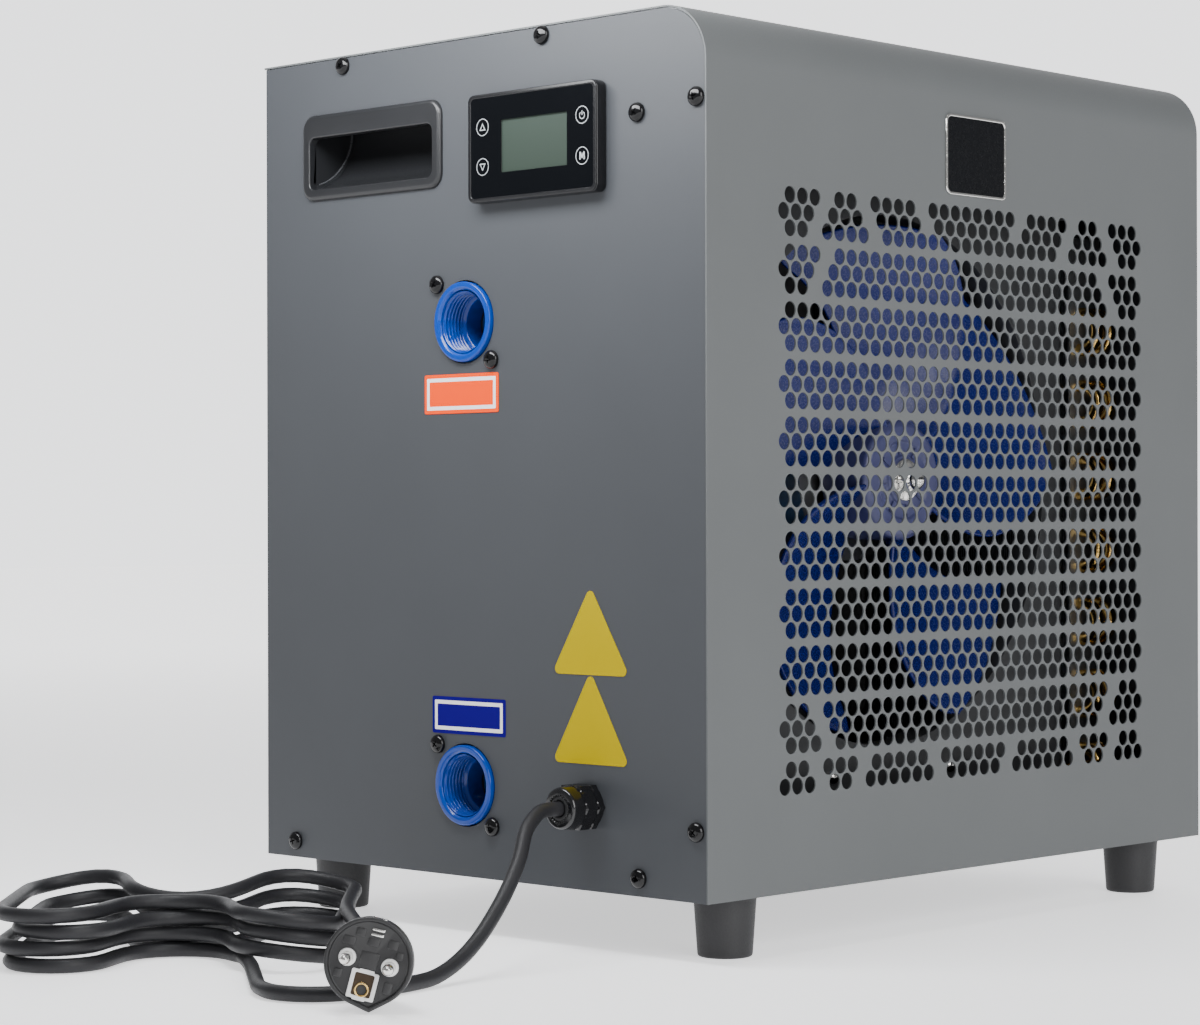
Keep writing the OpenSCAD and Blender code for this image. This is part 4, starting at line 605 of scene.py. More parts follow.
socket = lathe("earth_socket", fillet([(-0.8, 3.3, 0), (0.1, 3.2, 0.3), (0.1, 2.5, 0.3), (-1, 2.1, 0.2), (-9, 2.0, 0),
                                       (-9, 0.01, 0)], 0.25), shifted(0, EARTH_V), "brass", None, n=36)
plug_pieces.append(join("plug_earth_socket", [socket], "brass"))
clips = [plate("clip", [rounded_rect(5.6, 1.2, 0.4, 4, 0.9, v)], 0.9, 0.25, plug_plane(-0.7), "nickel", None)
         for v in (14.4, 12.2)]
clips += [plate("side_clip", [rounded_rect(9.5, 6.4, 0.5, 4, -5.6, 0)], 0.6, 0.2, plug_side(v * 0.985), "nickel",
                None) for v in (PLUG_R, -PLUG_R)]
plug_pieces.append(join("plug_clips", clips, "nickel"))

# Cable gland: flange, hexagon nut with a rounded nose, and the rubber seal with its lip
GLAND_T, GLAND_Z = 79, 42
GX = out_of_left(GLAND_T, GLAND_Z)


def hex_prism(name, a0, a1, stands_for, ridges=0.0):
    """A hexagon nut along the gland's axis, corners above and below, its ends turned."""
    n, half, chamfer = 360, 10.8, 0.605
    rings = []
    for a, cut in ((a0, 1), (a0 + chamfer, 0), (a1 - chamfer, 0), (a1, 1)):
        ring = []
        for k in range(n):
            ang = 2 * pi * k / n
            r = half / cos(ang % (pi / 3) - pi / 6)
            r = min(r, half + 0.15) if cut else r - ridges * (k % 5 == 0)
            ring.append(GX(a, r * sin(ang + pi / 6), r * cos(ang + pi / 6)))
        rings.append(ring)
    new_object(name, rings_mesh(name, rings, (0, -1)), "gland_plastic", stands_for=stands_for, angle=18)


hex_prism("gland_flange", 0, 4.6, "gland_body")
lathe("gland_neck", [(4.4, 9.4), (5.2, 9.4)], GX, "gland_plastic", n=48)
hex_prism("gland_hexagon", 4.9, 12.8, "gland_nut", ridges=0.12)
lathe("gland_nose", fillet([(12.6, 10.7, 0), (13.6, 10.7, 0.6), (20.4, 10.2, 6.5), (20.8, 7.0, 0.8), (19.9, 6.6, 0.3),
                            (13, 6.5, 0)], 0.5, 10), GX, "gland_plastic", n=96)
lathe("gland_lip", fillet([(15, 6.3, 0), (20.3, 6.1, 0.5), (20.7, 5.2, 0.5), (20.4, 4.1, 0.4), (15, 3.7, 0)], 0.4, 5),
      GX, "foot_rubber", n=60, stands_for="gland_seal")
bm = bmesh.new()
for y, z in circle_points(6.45, 26):
    bmesh.ops.create_uvsphere(bm, u_segments=8, v_segments=6, radius=0.00042,
                              matrix=Matrix.Translation(GX(20.5, y, z)))
new_object("gland_teeth", mesh_from(bm, "gland_teeth", False), "gland_plastic")
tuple(cord_path[0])

# Case: the wrapped cover is a holed front sheet, a bend and a top in one skin
PITCH, HOLE_R = 9.52, 4.15
ROWS, HOLES = 32, 32
# The holes that the top rows leave out, and the bottom rows counted from below
TOP_OUT = [[3, 6, 11, 20, 25, 28], [3, 7, 12, 20, 25, 29], [2, 7, 24, 29], [3, 28], [3, 29], [2, 29]]
LOW_OUT = [[3, 6, 13, 19, 26, 29], [2, 6, 12, 19, 25, 29], [3, 28], [3, 29], [2, 29]]


def hole_places():
    left_out = TOP_OUT + [[]] * (ROWS - len(TOP_OUT) - len(LOW_OUT)) + LOW_OUT[::-1]
    for r in range(ROWS):
        z = 341.5 - (r // 3) * 28.12 - (r % 3) * 8.14
        odd = r % 3 == 1
        for i in range(HOLES + 1 if odd else HOLES):
            if i not in left_out[r]:
                yield 61.44 + (i - (0.5 if odd else 0)) * PITCH, z


# The cover is one flat pattern, folded into front, bend and top
MID_R = BEND - SHEET / 2
FOLD = H - BEND
FLAT_TOP = FOLD + MID_R * pi / 2
FLAT_END = FLAT_TOP + D - BEND


def cover_place(u, v, w):
    if v <= FOLD:
        return P(u, SHEET / 2 - w, v)
    a = (v - FOLD) / MID_R
    if a < pi / 2:
        return P(u, BEND - (MID_R + w) * cos(a), FOLD + (MID_R + w) * sin(a))
    return P(u, BEND + v - FLAT_TOP, H - SHEET / 2 + w)


cover_loops = [[(0, 0.15), (W, 0.15), (W, FLAT_END), (0, FLAT_END)]]
cover_loops += [circle_points(HOLE_R, 28, x, z) for x, z in hole_places()]
folds = [FOLD - 0.5, FLAT_TOP + 0.5] + [lerp(FOLD, FLAT_TOP, k / 36) for k in range(37)]
plate("cover", cover_loops, SHEET, 0.14, cover_place, "case_paint", stands_for="wrap_cover",
      cuts=[((0, v, 0), (0, 1, 0)) for v in folds])

# Each side panel is a flat pattern whose rear edge folds in to a return
PANEL_IN, RETURN_FROM, RETURN_R, RETURN_W = 1.05, D - 2.5, 2.0, 27.5
RETURN_TO = RETURN_FROM + RETURN_R * pi / 2


def panel_place(flip):
    def place(u, v, w):
        if u <= RETURN_FROM:
            s, t = SHEET / 2 - w, u
        elif u < RETURN_TO:
            a = (u - RETURN_FROM) / RETURN_R
            s, t = 2.5 - (RETURN_R + w) * cos(a), RETURN_FROM + (RETURN_R + w) * sin(a)
        else:
            s, t = 2.5 + u - RETURN_TO, D - SHEET / 2 + w
        return P(W - s if flip else s, t, v)
    return place


def panel(name, holes, flip, node):
    r, end = BEND - PANEL_IN - 0.35, RETURN_TO + RETURN_W
    outline = [(PANEL_IN, 0.2), (end, 0.2), (end, FOLD + r)]
    for k in range(25):
        a = pi / 2 * k / 24
        outline.append((BEND - (BEND - PANEL_IN) * sin(a), FOLD + r * cos(a)))
    lines = [RETURN_FROM - 0.3, RETURN_TO + 0.3] + [lerp(RETURN_FROM, RETURN_TO, k / 10) for k in range(11)]
    # the panel is drawn in the darker copy of the case paint, which paints its shade
    plate(name, [outline] + holes, SHEET, 0.12, panel_place(flip), "panel_paint", stands_for=node,
          cuts=[((u, 0, 0), (1, 0, 0)) for u in lines])


GRIP_T, GRIP_Z, GRIP_PROUD = 236, 377, 2.5
DISPLAY_T, DISPLAY_Z = 110.5, 370.5
PORT_T = 166
PORTS = dict(outlet=284, inlet=47)
LOUVRES = [(80 + 50 * i, 45 + 15 * k) for i in range(5) for k in range(19)]
grip_hole = rounded_rect(100.6, 42.6, 2, 5, GRIP_T, GRIP_Z)
left_holes = [grip_hole, rounded_rect(81.1, 47.6, 2, 5, DISPLAY_T, DISPLAY_Z),
              circle_points(10.3, 40, GLAND_T, GLAND_Z)]
left_holes += [circle_points(21.3, 64, PORT_T, z) for z in PORTS.values()]
panel("service_side", left_holes, False, "service_panel")
panel("right_side", [grip_hole] + [rounded_rect(40, 5, 2.4, 6, t, z) for t, z in LOUVRES], True, "right_panel")


def louvre_hoods():
    """A pressed hood over every slot, open below."""
    bm = bmesh.new()
    place, along, down, deep, thick = panel_place(True), 10, 5, 3.2, 0.7
    for t0, z0 in LOUVRES:
        grid = {}
        for a in range(along + 1):
            x = -cos(pi * a / along)
            for b in range(down + 1):
                q = pi / 2 * b / down
                w = deep * sin(q) * math.sqrt(max(1 - x ** 4, 0))
                for shell in (0, 1):
                    grid[a, b, shell] = bm.verts.new(place(
                        t0 + (21 - thick * shell) * x, z0 + 3.6 - thick * shell - 5.6 * (1 - cos(q)),
                        -SHEET / 2 - w - 0.05 + thick * shell))

        def face(*keys):
            bm.faces.new([grid[k] for k in keys])

        for a in range(along):
            for b in range(down):
                face((a, b + 1, 0), (a + 1, b + 1, 0), (a + 1, b, 0), (a, b, 0))
                face((a, b, 1), (a + 1, b, 1), (a + 1, b + 1, 1), (a, b + 1, 1))
            for b in (0, down):
                face((a, b, 0), (a + 1, b, 0), (a + 1, b, 1), (a, b, 1))
        for b in range(down):
            for a in (0, along):
                face((a, b, 0), (a, b + 1, 0), (a, b + 1, 1), (a, b, 1))
    # the hoods take the same darker copy of the case paint, painted shade
    new_object("right_louvres", mesh_from(bm, "right_louvres"), "panel_paint")


louvre_hoods()


def strip(name, outer, inner, s0, s1, mat, edge=0.14, **kw):
    """Sheet between two side profiles, with its two cut edges rounded."""
    loop = outer + inner[::-1]
    mid = [((a[0] + b[0]) / 2, (a[1] + b[1]) / 2) for a, b in zip(outer, inner)]
    n = len(loop)
    verts = []
    for s, e in ((s0, edge), (s0 + edge, 0), (s1 - edge, 0), (s1, edge)):
        for (t, z), (tm, zm) in zip(loop, mid + mid[::-1]):
            d = Vector((tm - t, zm - z)).normalized() * e
            verts.append(P(s, t + d.x, z + d.y))
    faces = quads(4, n)
    for base in (0, 3 * n):
        faces += [(base + k, base + k + 1, base + n - 2 - k, base + n - 1 - k) for k in range(n // 2 - 1)]
    new_object(name, mesh_of(verts, faces, name), mat, angle=30, **kw)


def rail(t, r):
    """A side profile t inside the cover, of radius r round its bend."""
    bend = [(BEND - r * cos(pi / 2 * k / 12), FOLD + r * sin(pi / 2 * k / 12)) for k in range(1, 12)]
    return [(t, 21), (t, FOLD)] + bend + [(BEND, H - t), (D - 3, H - t)]


for i, s in enumerate((SHEET, W - 2 * SHEET)):
    strip(f"cover_rail_{i}", rail(1.02, 26.9), rail(15, 13), s, s + SHEET, "galvanised", slot="case_paint")

# The CAD's own pieces that stay in view, with their materials, and some with a bevel in millimetres
PAINTED = dict(
    case_paint=["rear_guard"], plate_grey=["base_pan", "fan_plate"], zinc=["foot_screws", "compressor_studs"],
    circuit_board=["display_board", "control_board"], foot_rubber=["union_seals", "compressor_grommets"],
    black_plastic=["gland_locknut", "motor_bracket", "flow_switch"], copper_wound=["motor_stator"],
    steel=["motor_shaft", "motor_core", "motor_bearings"], motor_metal=["motor_shell", "motor_end_bell"],
    galvanised=["control_box", "control_lid"], board_parts=["control_parts"], compressor_paint=["compressor"],
    insulation=["accumulator"], copper=["evaporator_tubes"], exchanger_plastic=["exchanger_shell", "exchanger_cap"],
    titanium=["exchanger_coil"], paddle_plastic=["flow_paddle"])
BEVELLED = dict(rear_guard=0.25, base_pan=0.3, fan_plate=0.25, control_box=0.4, control_lid=0.3, motor_bracket=0.4,
                compressor_studs=0.3, foot_screws=0.3)
for mat, names in PAINTED.items():
    for name in names:
        NODES[name].data.materials.clear()
        NODES[name].data.materials.append(M[mat])


def bevel(o, width, segments, angle):
    b = o.modifiers.new("bevel", "BEVEL")
    b.width = width / 1000
    b.segments = segments
    b.limit_method = "ANGLE"
    b.angle_limit = radians(angle)


for name, width in BEVELLED.items():
    NODES[name].modifiers.new("weld", "WELD").merge_threshold = 0.00001
    bevel(NODES[name], width, 2, 40)


# Screws: one pan head with a cross recess, set wherever the case has one
def screw_mesh():
    r0, h = 4.85, 3.2
    prof = [(0, r0 - 0.15), (0.35, r0), (0.8, r0 - 0.05)]
    for k in range(1, 7):
        a = pi / 2 * k / 6
        prof.append((0.8 + (h - 0.8) * sin(a), (r0 - 0.05) * (0.22 + 0.78 * cos(a) ** 0.85)))
    rings = [[(x, y, z) for y, z in circle_points(r, 48)] for x, r in prof]
    head = linked("screw_head", rings_mesh("screw_head", rings, (-1, 0)))
    w, l = 0.42, 2.1
    pts = [(w, w), (w, l), (-w, l), (-w, w), (-l, w), (-l, -w), (-w, -w), (-w, -l), (w, -l), (w, -w), (l, -w), (l, w)]
    rings = [[(x, y * k, z * k) for y, z in pts] for x, k in ((h - 1.7, 0.35), (h + 0.3, 1.06))]
    cross = linked("screw_cross", rings_mesh("screw_cross", rings, (0, 1)))
    b = head.modifiers.new("cross", "BOOLEAN")
    b.operation = "DIFFERENCE"
    b.object = cross
    b.solver = "EXACT"
    out = evaluated_mesh(head)
    bpy.data.objects.remove(head)
    bpy.data.objects.remove(cross)
    return out


SCREW = screw_mesh()
SIDE_SCREWS = [(6, 384), (7, 34), (109.5, H - 5.5), (258.7, H - 5.5), (44.5, 9), (D - 25.5, 9)]


def screws(name, places, stands_for):
    """places: (point in metres, outward axis, turn in degrees)."""
    bm = bmesh.new()
    for at, axis, turn in places:
        q = Vector((1, 0, 0)).rotation_difference(Vector(axis)).to_matrix().to_4x4()
        one = SCREW.copy()
        one.transform(Matrix.Translation(at) @ q @ Matrix.Rotation(radians(turn), 4, "X") @ Matrix.Scale(0.001, 4))
        bm.from_mesh(one)
        bpy.data.meshes.remove(one)
    new_object(name, mesh_from(bm, name, False), "black_screw", stands_for=stands_for, angle=28)


left = [(P(0, t, z), (-1, 0, 0), (i * 37 + 12) % 90) for i, (t, z) in enumerate(SIDE_SCREWS + [(44.5, 380)])]
right = [(P(W, t, z), (1, 0, 0), (i * 53 + 20) % 90) for i, (t, z) in enumerate(SIDE_SCREWS)]
rear = [(P(s, D, z), (0, 1, 0), (z + s) % 90) for z in (30, 215, 400) for s in (15, W - 15)]
screws("panel_screw_heads", left + right + rear, "case_screws")
screws("port_screw_heads", [(P(0, PORT_T + k * 20, z + k * 20), (-1, 0, 0), 25 + 30 * k)
                            for z in PORTS.values() for k in (-1, 1)], "union_screws")


# Water ports: collar and a bore with a real thread
def port(name, z, node):
    ax = out_of_left(PORT_T, z)
    collar = fillet([(-24, 19, 0), (-1.2, 19, 0), (-1.2, 20.6, 0.2), (2.4, 20.6, 1.1), (2.4, 17.6, 0.6),
                     (1.2, 16.4, 0.3), (0.6, 16.3, 0)], 0.4, 6)
    lathe(name, collar, ax, "blue_plastic", n=96, stands_for=node, angle=40)
    n, pitch, length, top = 120, 2.309, 14.0, 1.0
    rows = int(length / pitch * 12)
    verts = []
    for i in range(rows + 1):
        a = top - length * i / rows
        fade = max(0, min(1, (top - a) / 1.4, (a + length - top + 0.4) / 1.4))
        run_out = (0.65 if a > 0 else 1.3) * (1 - fade)
        for k in range(n):
            tri = 1 - abs(2 * ((a / pitch + k / n) % 1) - 1)
            r = 16.55 - 1.35 * min(1, max(0, tri * 1.5 - 0.25)) * fade - run_out
            verts.append(ax(a, r * cos(2 * pi * k / n), r * sin(2 * pi * k / n)))
    thread = mesh_of(verts, quads(rows + 1, n), name + "_thread", recalc=False)
    new_object(name + "_thread", thread, "blue_plastic", angle=50)
    lathe(name + "_waterway", fillet([(-12.8, 15.3, 0), (-13.7, 13, 0.6), (-24, 13, 0)], 0.5), ax, "blue_plastic")


for k, z in PORTS.items():
    port(f"{k}_port", z, f"{k}_union")


# Stickers: a coloured base with a white frame line
def sticker(name, cy, cz, w, h, mat, node=()):
    plate(name, [rounded_rect(w, h, 1.0, 5, cy, cz)], 0.3, 0.08, side_plane(-0.15), mat, stands_for=node)
    line = [rounded_rect(w - 3.8, h - 3.8, 0.4, 3, cy, cz), rounded_rect(w - 7.6, h - 7.6, 0.3, 3, cy, cz)]
    plate(name + "_frame", line, 0.06, 0.02, side_plane(-0.33), "label_white")


sticker("outlet_label", 168.4, 247.4, 54.6, 20.2, "label_film", "port_labels")
sticker("inlet_label", 163.4, 82.3, 53.7, 19, "label_blue")


def triangle(w, h, r, cy, z0, n=8):
    corners = [(cy + w / 2 - r, z0 + r), (cy, z0 + h - r), (cy - w / 2 + r, z0 + r)]
    a0 = math.atan2(h - 2 * r, w / 2 - r)
    turns = [-pi / 2, pi / 2 - a0, pi / 2 + a0, 3 * pi / 2]
    return [(x + r * cos(lerp(b, e, i / n)), z + r * sin(lerp(b, e, i / n)))
            for (x, z), b, e in zip(corners, turns, turns[1:]) for i in range(n + 1)]


for i, (z, tall) in enumerate(((106.4, 41.4), (62.5, 43.2))):
    plate(f"yellow_label_{i}", [triangle(48.7, tall, 2.7, 77, z)], 0.3, 0.08, side_plane(-0.15), "yellow_film",
          stands_for="yellow_labels" if i == 0 else ())

# Front badge: a silver rim round a plain dark plate
BADGE = (W / 2, 372)
plate("badge_rim", [rounded_rect(52, 42, 4, 8, *BADGE), rounded_rect(49.2, 39.2, 2.8, 8, *BADGE)], 1.2, 0.4,
      front_plane(-0.6), "nickel", stands_for="badge", slot="badge_plastic")
plate("badge_plate", [rounded_rect(49.6, 39.6, 3, 8, *BADGE)], 0.8, 0.2, front_plane(-0.4), "badge_plastic")


# Display: body, rim, front glass and the window behind it
def on_display(w, h, r, n, shift=0):
    return rounded_rect(w, h, r, n, DISPLAY_T - shift, DISPLAY_Z)


plate("display_body", [on_display(90.5, 55, 4, 10), on_display(46.9, 26.9, 0.3, 3, 1.8)], 7.0, 0.9,
      side_plane(-3.4), "display_case", stands_for="display_bezel", edge_segments=4)
plate("display_rim", [on_display(89.9, 54.4, 3.7, 10), on_display(85.9, 50.4, 2.2, 10)], 1.4, 0.45,
      side_plane(-6.8), "display_case", edge_segments=4)
plate("display_window", [on_display(86.1, 50.6, 2.1, 8), on_display(46.5, 26.5, 0.3, 3, 1.8)], 0.5, 0.06,
      side_plane(-6.95), "display_front", stands_for="display_glass")
plate("display_crystal", [on_display(47.5, 27.5, 0.2, 2, 1.8)], 0.3, 0.05, side_plane(-6.1), "lcd",
      stands_for="display_lcd")


def ink(name, loops):
    plate(name, loops, 0.04, 0.01, side_plane(-7.22), "key_ink")


def arc_points(cx, cy, r, a0, a1, n=24):
    return [(cx + r * cos(lerp(a0, a1, i / n)), cy + r * sin(lerp(a0, a1, i / n))) for i in range(n + 1)]


def arrow(cx, cy, r, up):
    return [(cx + r * cos(pi / 2 * up + 2 * pi * k / 3), cy + r * sin(pi / 2 * up + 2 * pi * k / 3)) for k in range(3)]


# The keys' rings, two arrows, a power sign and a letter
for i, (t, z) in enumerate(((145, 381), (145, 361), (75, 381), (75, 361))):
    ink(f"key_ring_{i}", [circle_points(4.4, 48, t, z), circle_points(4.02, 48, t, z)])
for i, (z, up) in enumerate(((381, 1), (361, -1))):
    ink(f"key_arrow_{i}", [arrow(145, z - 0.4 * up, 2.5, up), arrow(145, z - 0.4 * up, 1.6, up)])
start, stop = pi / 2 + 0.6, 5 * pi / 2 - 0.6
ink("key_power", [arc_points(75, 380.8, 1.95, start, stop) + arc_points(75, 380.8, 1.5, stop, start)])
ink("key_power_bar", [rounded_rect(0.5, 2.2, 0.1, 2, 75, 382.0)])
ink("key_mode", [[(73.2, 359.1), (73.2, 362.9), (74.2, 362.9), (75, 360.9), (75.8, 362.9), (76.8, 362.9), (76.8, 359.1),
                  (76.05, 359.1), (76.05, 361.5), (75.3, 359.8), (74.7, 359.8), (73.95, 361.5), (73.95, 359.1)]])

# Handles: a frame with a quarter-round rim and a scooped pocket behind its mouth
MOUTH_LOW, MOUTH_HIGH, MOUTH_W = 359.98, 387.58, 96


def handle(side, at):
    """at maps (s, t, z) of the left panel to metres."""
    r_out, r_in, back = 2.3, 0.9, 2.4

    def outer(inset, s):
        return [at(s, u, v) for u, v in rounded_rect(108 - 2 * inset, 46 - 2 * inset, 8 - inset, 10, GRIP_T, GRIP_Z)]

    def mouth(grow, s):
        return [at(s, u, v) for u, v in rounded_rect(MOUTH_W + 2 * grow, MOUTH_HIGH - MOUTH_LOW + 2 * grow, 4 + grow,
                                                     10, GRIP_T, (MOUTH_LOW + MOUTH_HIGH) / 2)]
    rings = [outer(1.2, 0.05), outer(0, 0.0)]
    for k in range(9):
        a = pi / 2 * k / 8
        rings.append(outer(r_out * (1 - cos(a)), r_out - GRIP_PROUD - r_out * sin(a)))
    rings.append(outer(r_out + 0.6, -GRIP_PROUD))
    for k in range(7):
        a = pi / 2 * k / 6
        rings.append(mouth(r_in * (1 - sin(a)), -GRIP_PROUD + r_in * (1 - cos(a))))
    rings.append(mouth(0, back))
    name = f"{side}_handle_frame"
    new_object(name, rings_mesh(name, rings), "handle_plastic", stands_for=f"{side}_handle", angle=50)
    # Pocket: a profile swept between two end walls that flare a little towards the mouth
    cs, cz, r = -6.0, MOUTH_LOW + 34.0, 34.5
    rise = MOUTH_LOW + 0.02 - cz
    a_start = math.atan2(rise, math.sqrt(r * r - rise ** 2))
    prof = [(0.4, MOUTH_LOW)]
    for k in range(25):
        a = lerp(a_start, 0.0, k / 24)
        if cs + r * cos(a) > 0.5:
            prof.append((cs + r * cos(a), cz + r * sin(a)))
    prof += [(28.3, 395.2), (27.5, 396), (14, 396), (2.9, 396), (2.45, 395.5), (2.45, 392), (2.45, MOUTH_HIGH)]
    half, e = MOUTH_W / 2, 3.0
    turns = [pi / 2 * k / 8 for k in range(1, 9)]
    ends = [(half, e)] + [(half - e * (1 - cos(a)), e * (1 - sin(a))) for a in turns]
    # each end: the profile is drawn in by the fillet so that the corner is soft
    centre = Vector((6.0, 384.0))

    def ring(tt, inset):
        out = []
        for i, (s, z) in enumerate(prof):
            keep = inset if (s > 1.0 and i < len(prof) - 5) else 0
            d = (centre - Vector((s, z))).normalized() * keep
            out.append(at(s + d.x, tt, z + d.y))
        return out
    inner = ends[-1][0]
    cols = [ring(GRIP_T + tt, inset) for tt, inset in ends]
    cols += [ring(GRIP_T + lerp(inner, -inner, k / 12), 0) for k in range(1, 12)]
    cols += [ring(GRIP_T - tt, inset) for tt, inset in reversed(ends)]
    # a thin raised bead where the scoop meets its end walls, its lighter colour a painted highlight along that crease
    for way, tag in ((1, "rear"), (-1, "front")):
        arc = ring(GRIP_T + way * (half - e + 0.1), e - 0.2)[1:25]
        tube_curve(f"{side}_handle_highlight_line_{tag}", arc, 0.0004, "handle_highlight_line")
    n, last = len(prof), (len(cols) - 1) * len(prof)
    faces = quads(len(cols), n, False) + [tuple(range(n)), tuple(range(last, last + n))]
    name = f"{side}_handle_pocket"
    # the pocket takes the lighter copy of the handle plastic, painted light
    new_object(name, mesh_of([p for c in cols for p in c], faces, name), "lit_pocket_plastic", angle=40)


handle("left", P)
handle("right", lambda s, t, z: P(W - s, t, z))

# Feet: tapered rubber with a rounded tread and the recess of the screw below
foot_profile = fillet([(-15, 3.2, 0), (-15, 6.6, 0.4), (-29.4, 6.6, 0.4), (-30, 7.4, 0.5), (-30, 13.5, 1.6),
                       (-2.2, 15.4, 0.8), (-1.4, 15.6, 0.3), (0, 15.6, 0.6), (0, 3.2, 0)], 0.5, 6)
for fb, t in (("front", 22), ("rear", D - 22)):
    for lr, s in (("left", 37), ("right", W - 37)):
        lathe(f"{fb}_{lr}_foot", foot_profile, along_z(s, t), "foot_rubber", n=80, stands_for=f"foot_{fb}_{lr}",
              angle=45)

# Fan: broad twisted blades on a hub with a chrome washer and a dome nut
FAN_S, FAN_Z, HUB_R, FAN_R = 181.5, 203, 31.5, 134
BLADE_ROWS, BLADE_POINTS = 27, 23
at_fan = along_y(FAN_S, FAN_Z)


def blade_points(turn):
    for i in range(BLADE_ROWS):
        u = i / (BLADE_ROWS - 1)
        r = HUB_R - 2 + (FAN_R - HUB_R + 2) * u
        tip = max(0, (u - 0.86) / 0.14)
        for j in range(BLADE_POINTS):
            v = j / (BLADE_POINTS - 1)
            x = (v - 0.5) * (1 - 0.10 * tip ** 2.5)
            a = radians(x * 62 * (1 - 0.18 * u) + 26 * u * u + turn)
            y = 20 + 36 * (0.12 + 0.76 * v + 0.12 * sin(pi * v) * (1 - u)) + 1.2
            yield at_fan(y, r * cos(a), r * sin(a))


verts, faces = [], []
for k in range(5):
    faces += [tuple(len(verts) + i for i in q) for q in quads(BLADE_ROWS, BLADE_POINTS, False)]
    verts += blade_points(72 * k)
blades = new_object("fan_blades", mesh_of(verts, faces, "fan_blades"), "fan_plastic", "fan", stands_for="fan_rotor",
                    angle=60)
thicken = blades.modifiers.new("thick", "SOLIDIFY")
thicken.thickness = 0.0024
thicken.offset = 0
bevel(blades, 0.9, 3, 60)
thick_blades = evaluated_mesh(blades)
blades.modifiers.clear()
blades.data = thick_blades
soften(blades, 50)
lathe("fan_hub", fillet([(24, 4.1, 0), (24, 12.5, 0.4), (25.2, 13.2, 0.4), (25.2, 20, 0.4), (24.2, 21, 0.4),
                         (24.2, 28.5, 1.0), (26.4, HUB_R, 1.6), (54, HUB_R, 0.5), (54, HUB_R - 3, 0.4),
                         (27, HUB_R - 3, 0.4), (27, 4.1, 0)], 0.4, 5), at_fan, "hub_plastic", "fan", n=96, angle=35)
bm = bmesh.new()
for k in range(8):
    c, s = cos(2 * pi * k / 8 + 0.2), sin(2 * pi * k / 8 + 0.2)
    q = [(c * x - s * y, s * x + c * y) for x, y in ((13.6, -0.8), (19.6, -0.8), (19.6, 0.8), (13.6, 0.8))]
    lo, hi = ([bm.verts.new(at_fan(y, x, z)) for x, z in q] for y in (25.3, 24.3))
    bm.faces.new(hi)
    for i in range(4):
        bm.faces.new((lo[i], lo[(i + 1) % 4], hi[(i + 1) % 4], hi[i]))
new_object("fan_hub_ribs", mesh_from(bm, "fan_hub_ribs"), "hub_plastic", "fan")
lathe("fan_washer", fillet([(24, 4.2, 0), (24, 11, 0.2), (22.5, 11, 0.6), (22.5, 4.2, 0)], 0.3, 4), at_fan, "nickel",
      "fan", n=72, slot="zinc", stands_for="fan_nut")
rings = []
for y, cut in ((22.5, 0.94), (22.1, 1.0), (17.6, 1.0), (17.1, 0.95)):
    ring = []
    for k in range(72):
        a = 2 * pi * k / 72
        r = min(6.6 / cos(a % (pi / 3) - pi / 6), 7.4 * cut)
        ring.append(at_fan(y, r * cos(a), r * sin(a)))
    rings.append(ring)
for k in range(1, 12):
    a = pi / 2 * k / 12
    rings.append([at_fan(17.1 - 5.2 * sin(a), x, z) for x, z in circle_points(5.6 * cos(a), 72)])
new_object("fan_dome_nut", rings_mesh("fan_dome_nut", rings, (0, -1)), "nickel", "fan", angle=28, slot="zinc")

# Evaporator: thin fins along the L and round its corner, its end plates, and the tubes that cross them
CORNER = (381.0, 282.0)
FIN_FROM, FIN_IN, FIN_DEEP, CORNER_R = 62, 286.0, 26, 4
FIN_STEP, FIN_T, FIN_THIN, FIN_LOW, FIN_HIGH = 3.0, 0.6, 0.35, 12, 345
bm = bmesh.new()


def fin(ax, ay, bx, by):
    """One fin between two plan points."""
    d = Vector((bx - ax, by - ay)).normalized() * FIN_THIN / 2
    q = [(ax - d.y, ay + d.x), (bx - d.y, by + d.x), (bx + d.y, by - d.x), (ax + d.y, ay - d.x)]
    lo, hi = ([bm.verts.new(P(x, y, z)) for x, y in q] for z in (FIN_LOW, FIN_HIGH))
    bm.faces.new(lo)
    bm.faces.new(hi[::-1])
    for k in range(4):
        bm.faces.new((lo[k], hi[k], hi[(k + 1) % 4], lo[(k + 1) % 4]))


for along, across in ((CORNER[0] - FIN_FROM, False), (CORNER[1] - FIN_FROM, True)):
    count = 2 * round(along / FIN_STEP)
    for k in range(count + 1):
        q = FIN_FROM + FIN_T / 2 + (along - FIN_T) * k / count
        fin(*((385, q, 411, q) if across else (q, FIN_IN, q, FIN_IN + FIN_DEEP)))
for k in range(1, 32):
    c, s = cos(pi / 2 * k / 32), sin(pi / 2 * k / 32)
    far_r = CORNER_R + FIN_DEEP
    fin(CORNER[0] + CORNER_R * c, CORNER[1] + CORNER_R * s, CORNER[0] + far_r * c, CORNER[1] + far_r * s)
new_object("evaporator_fin_pack", mesh_from(bm, "evaporator_fin_pack"), "fin_metal", stands_for="evaporator_fins",
           smooth=False)

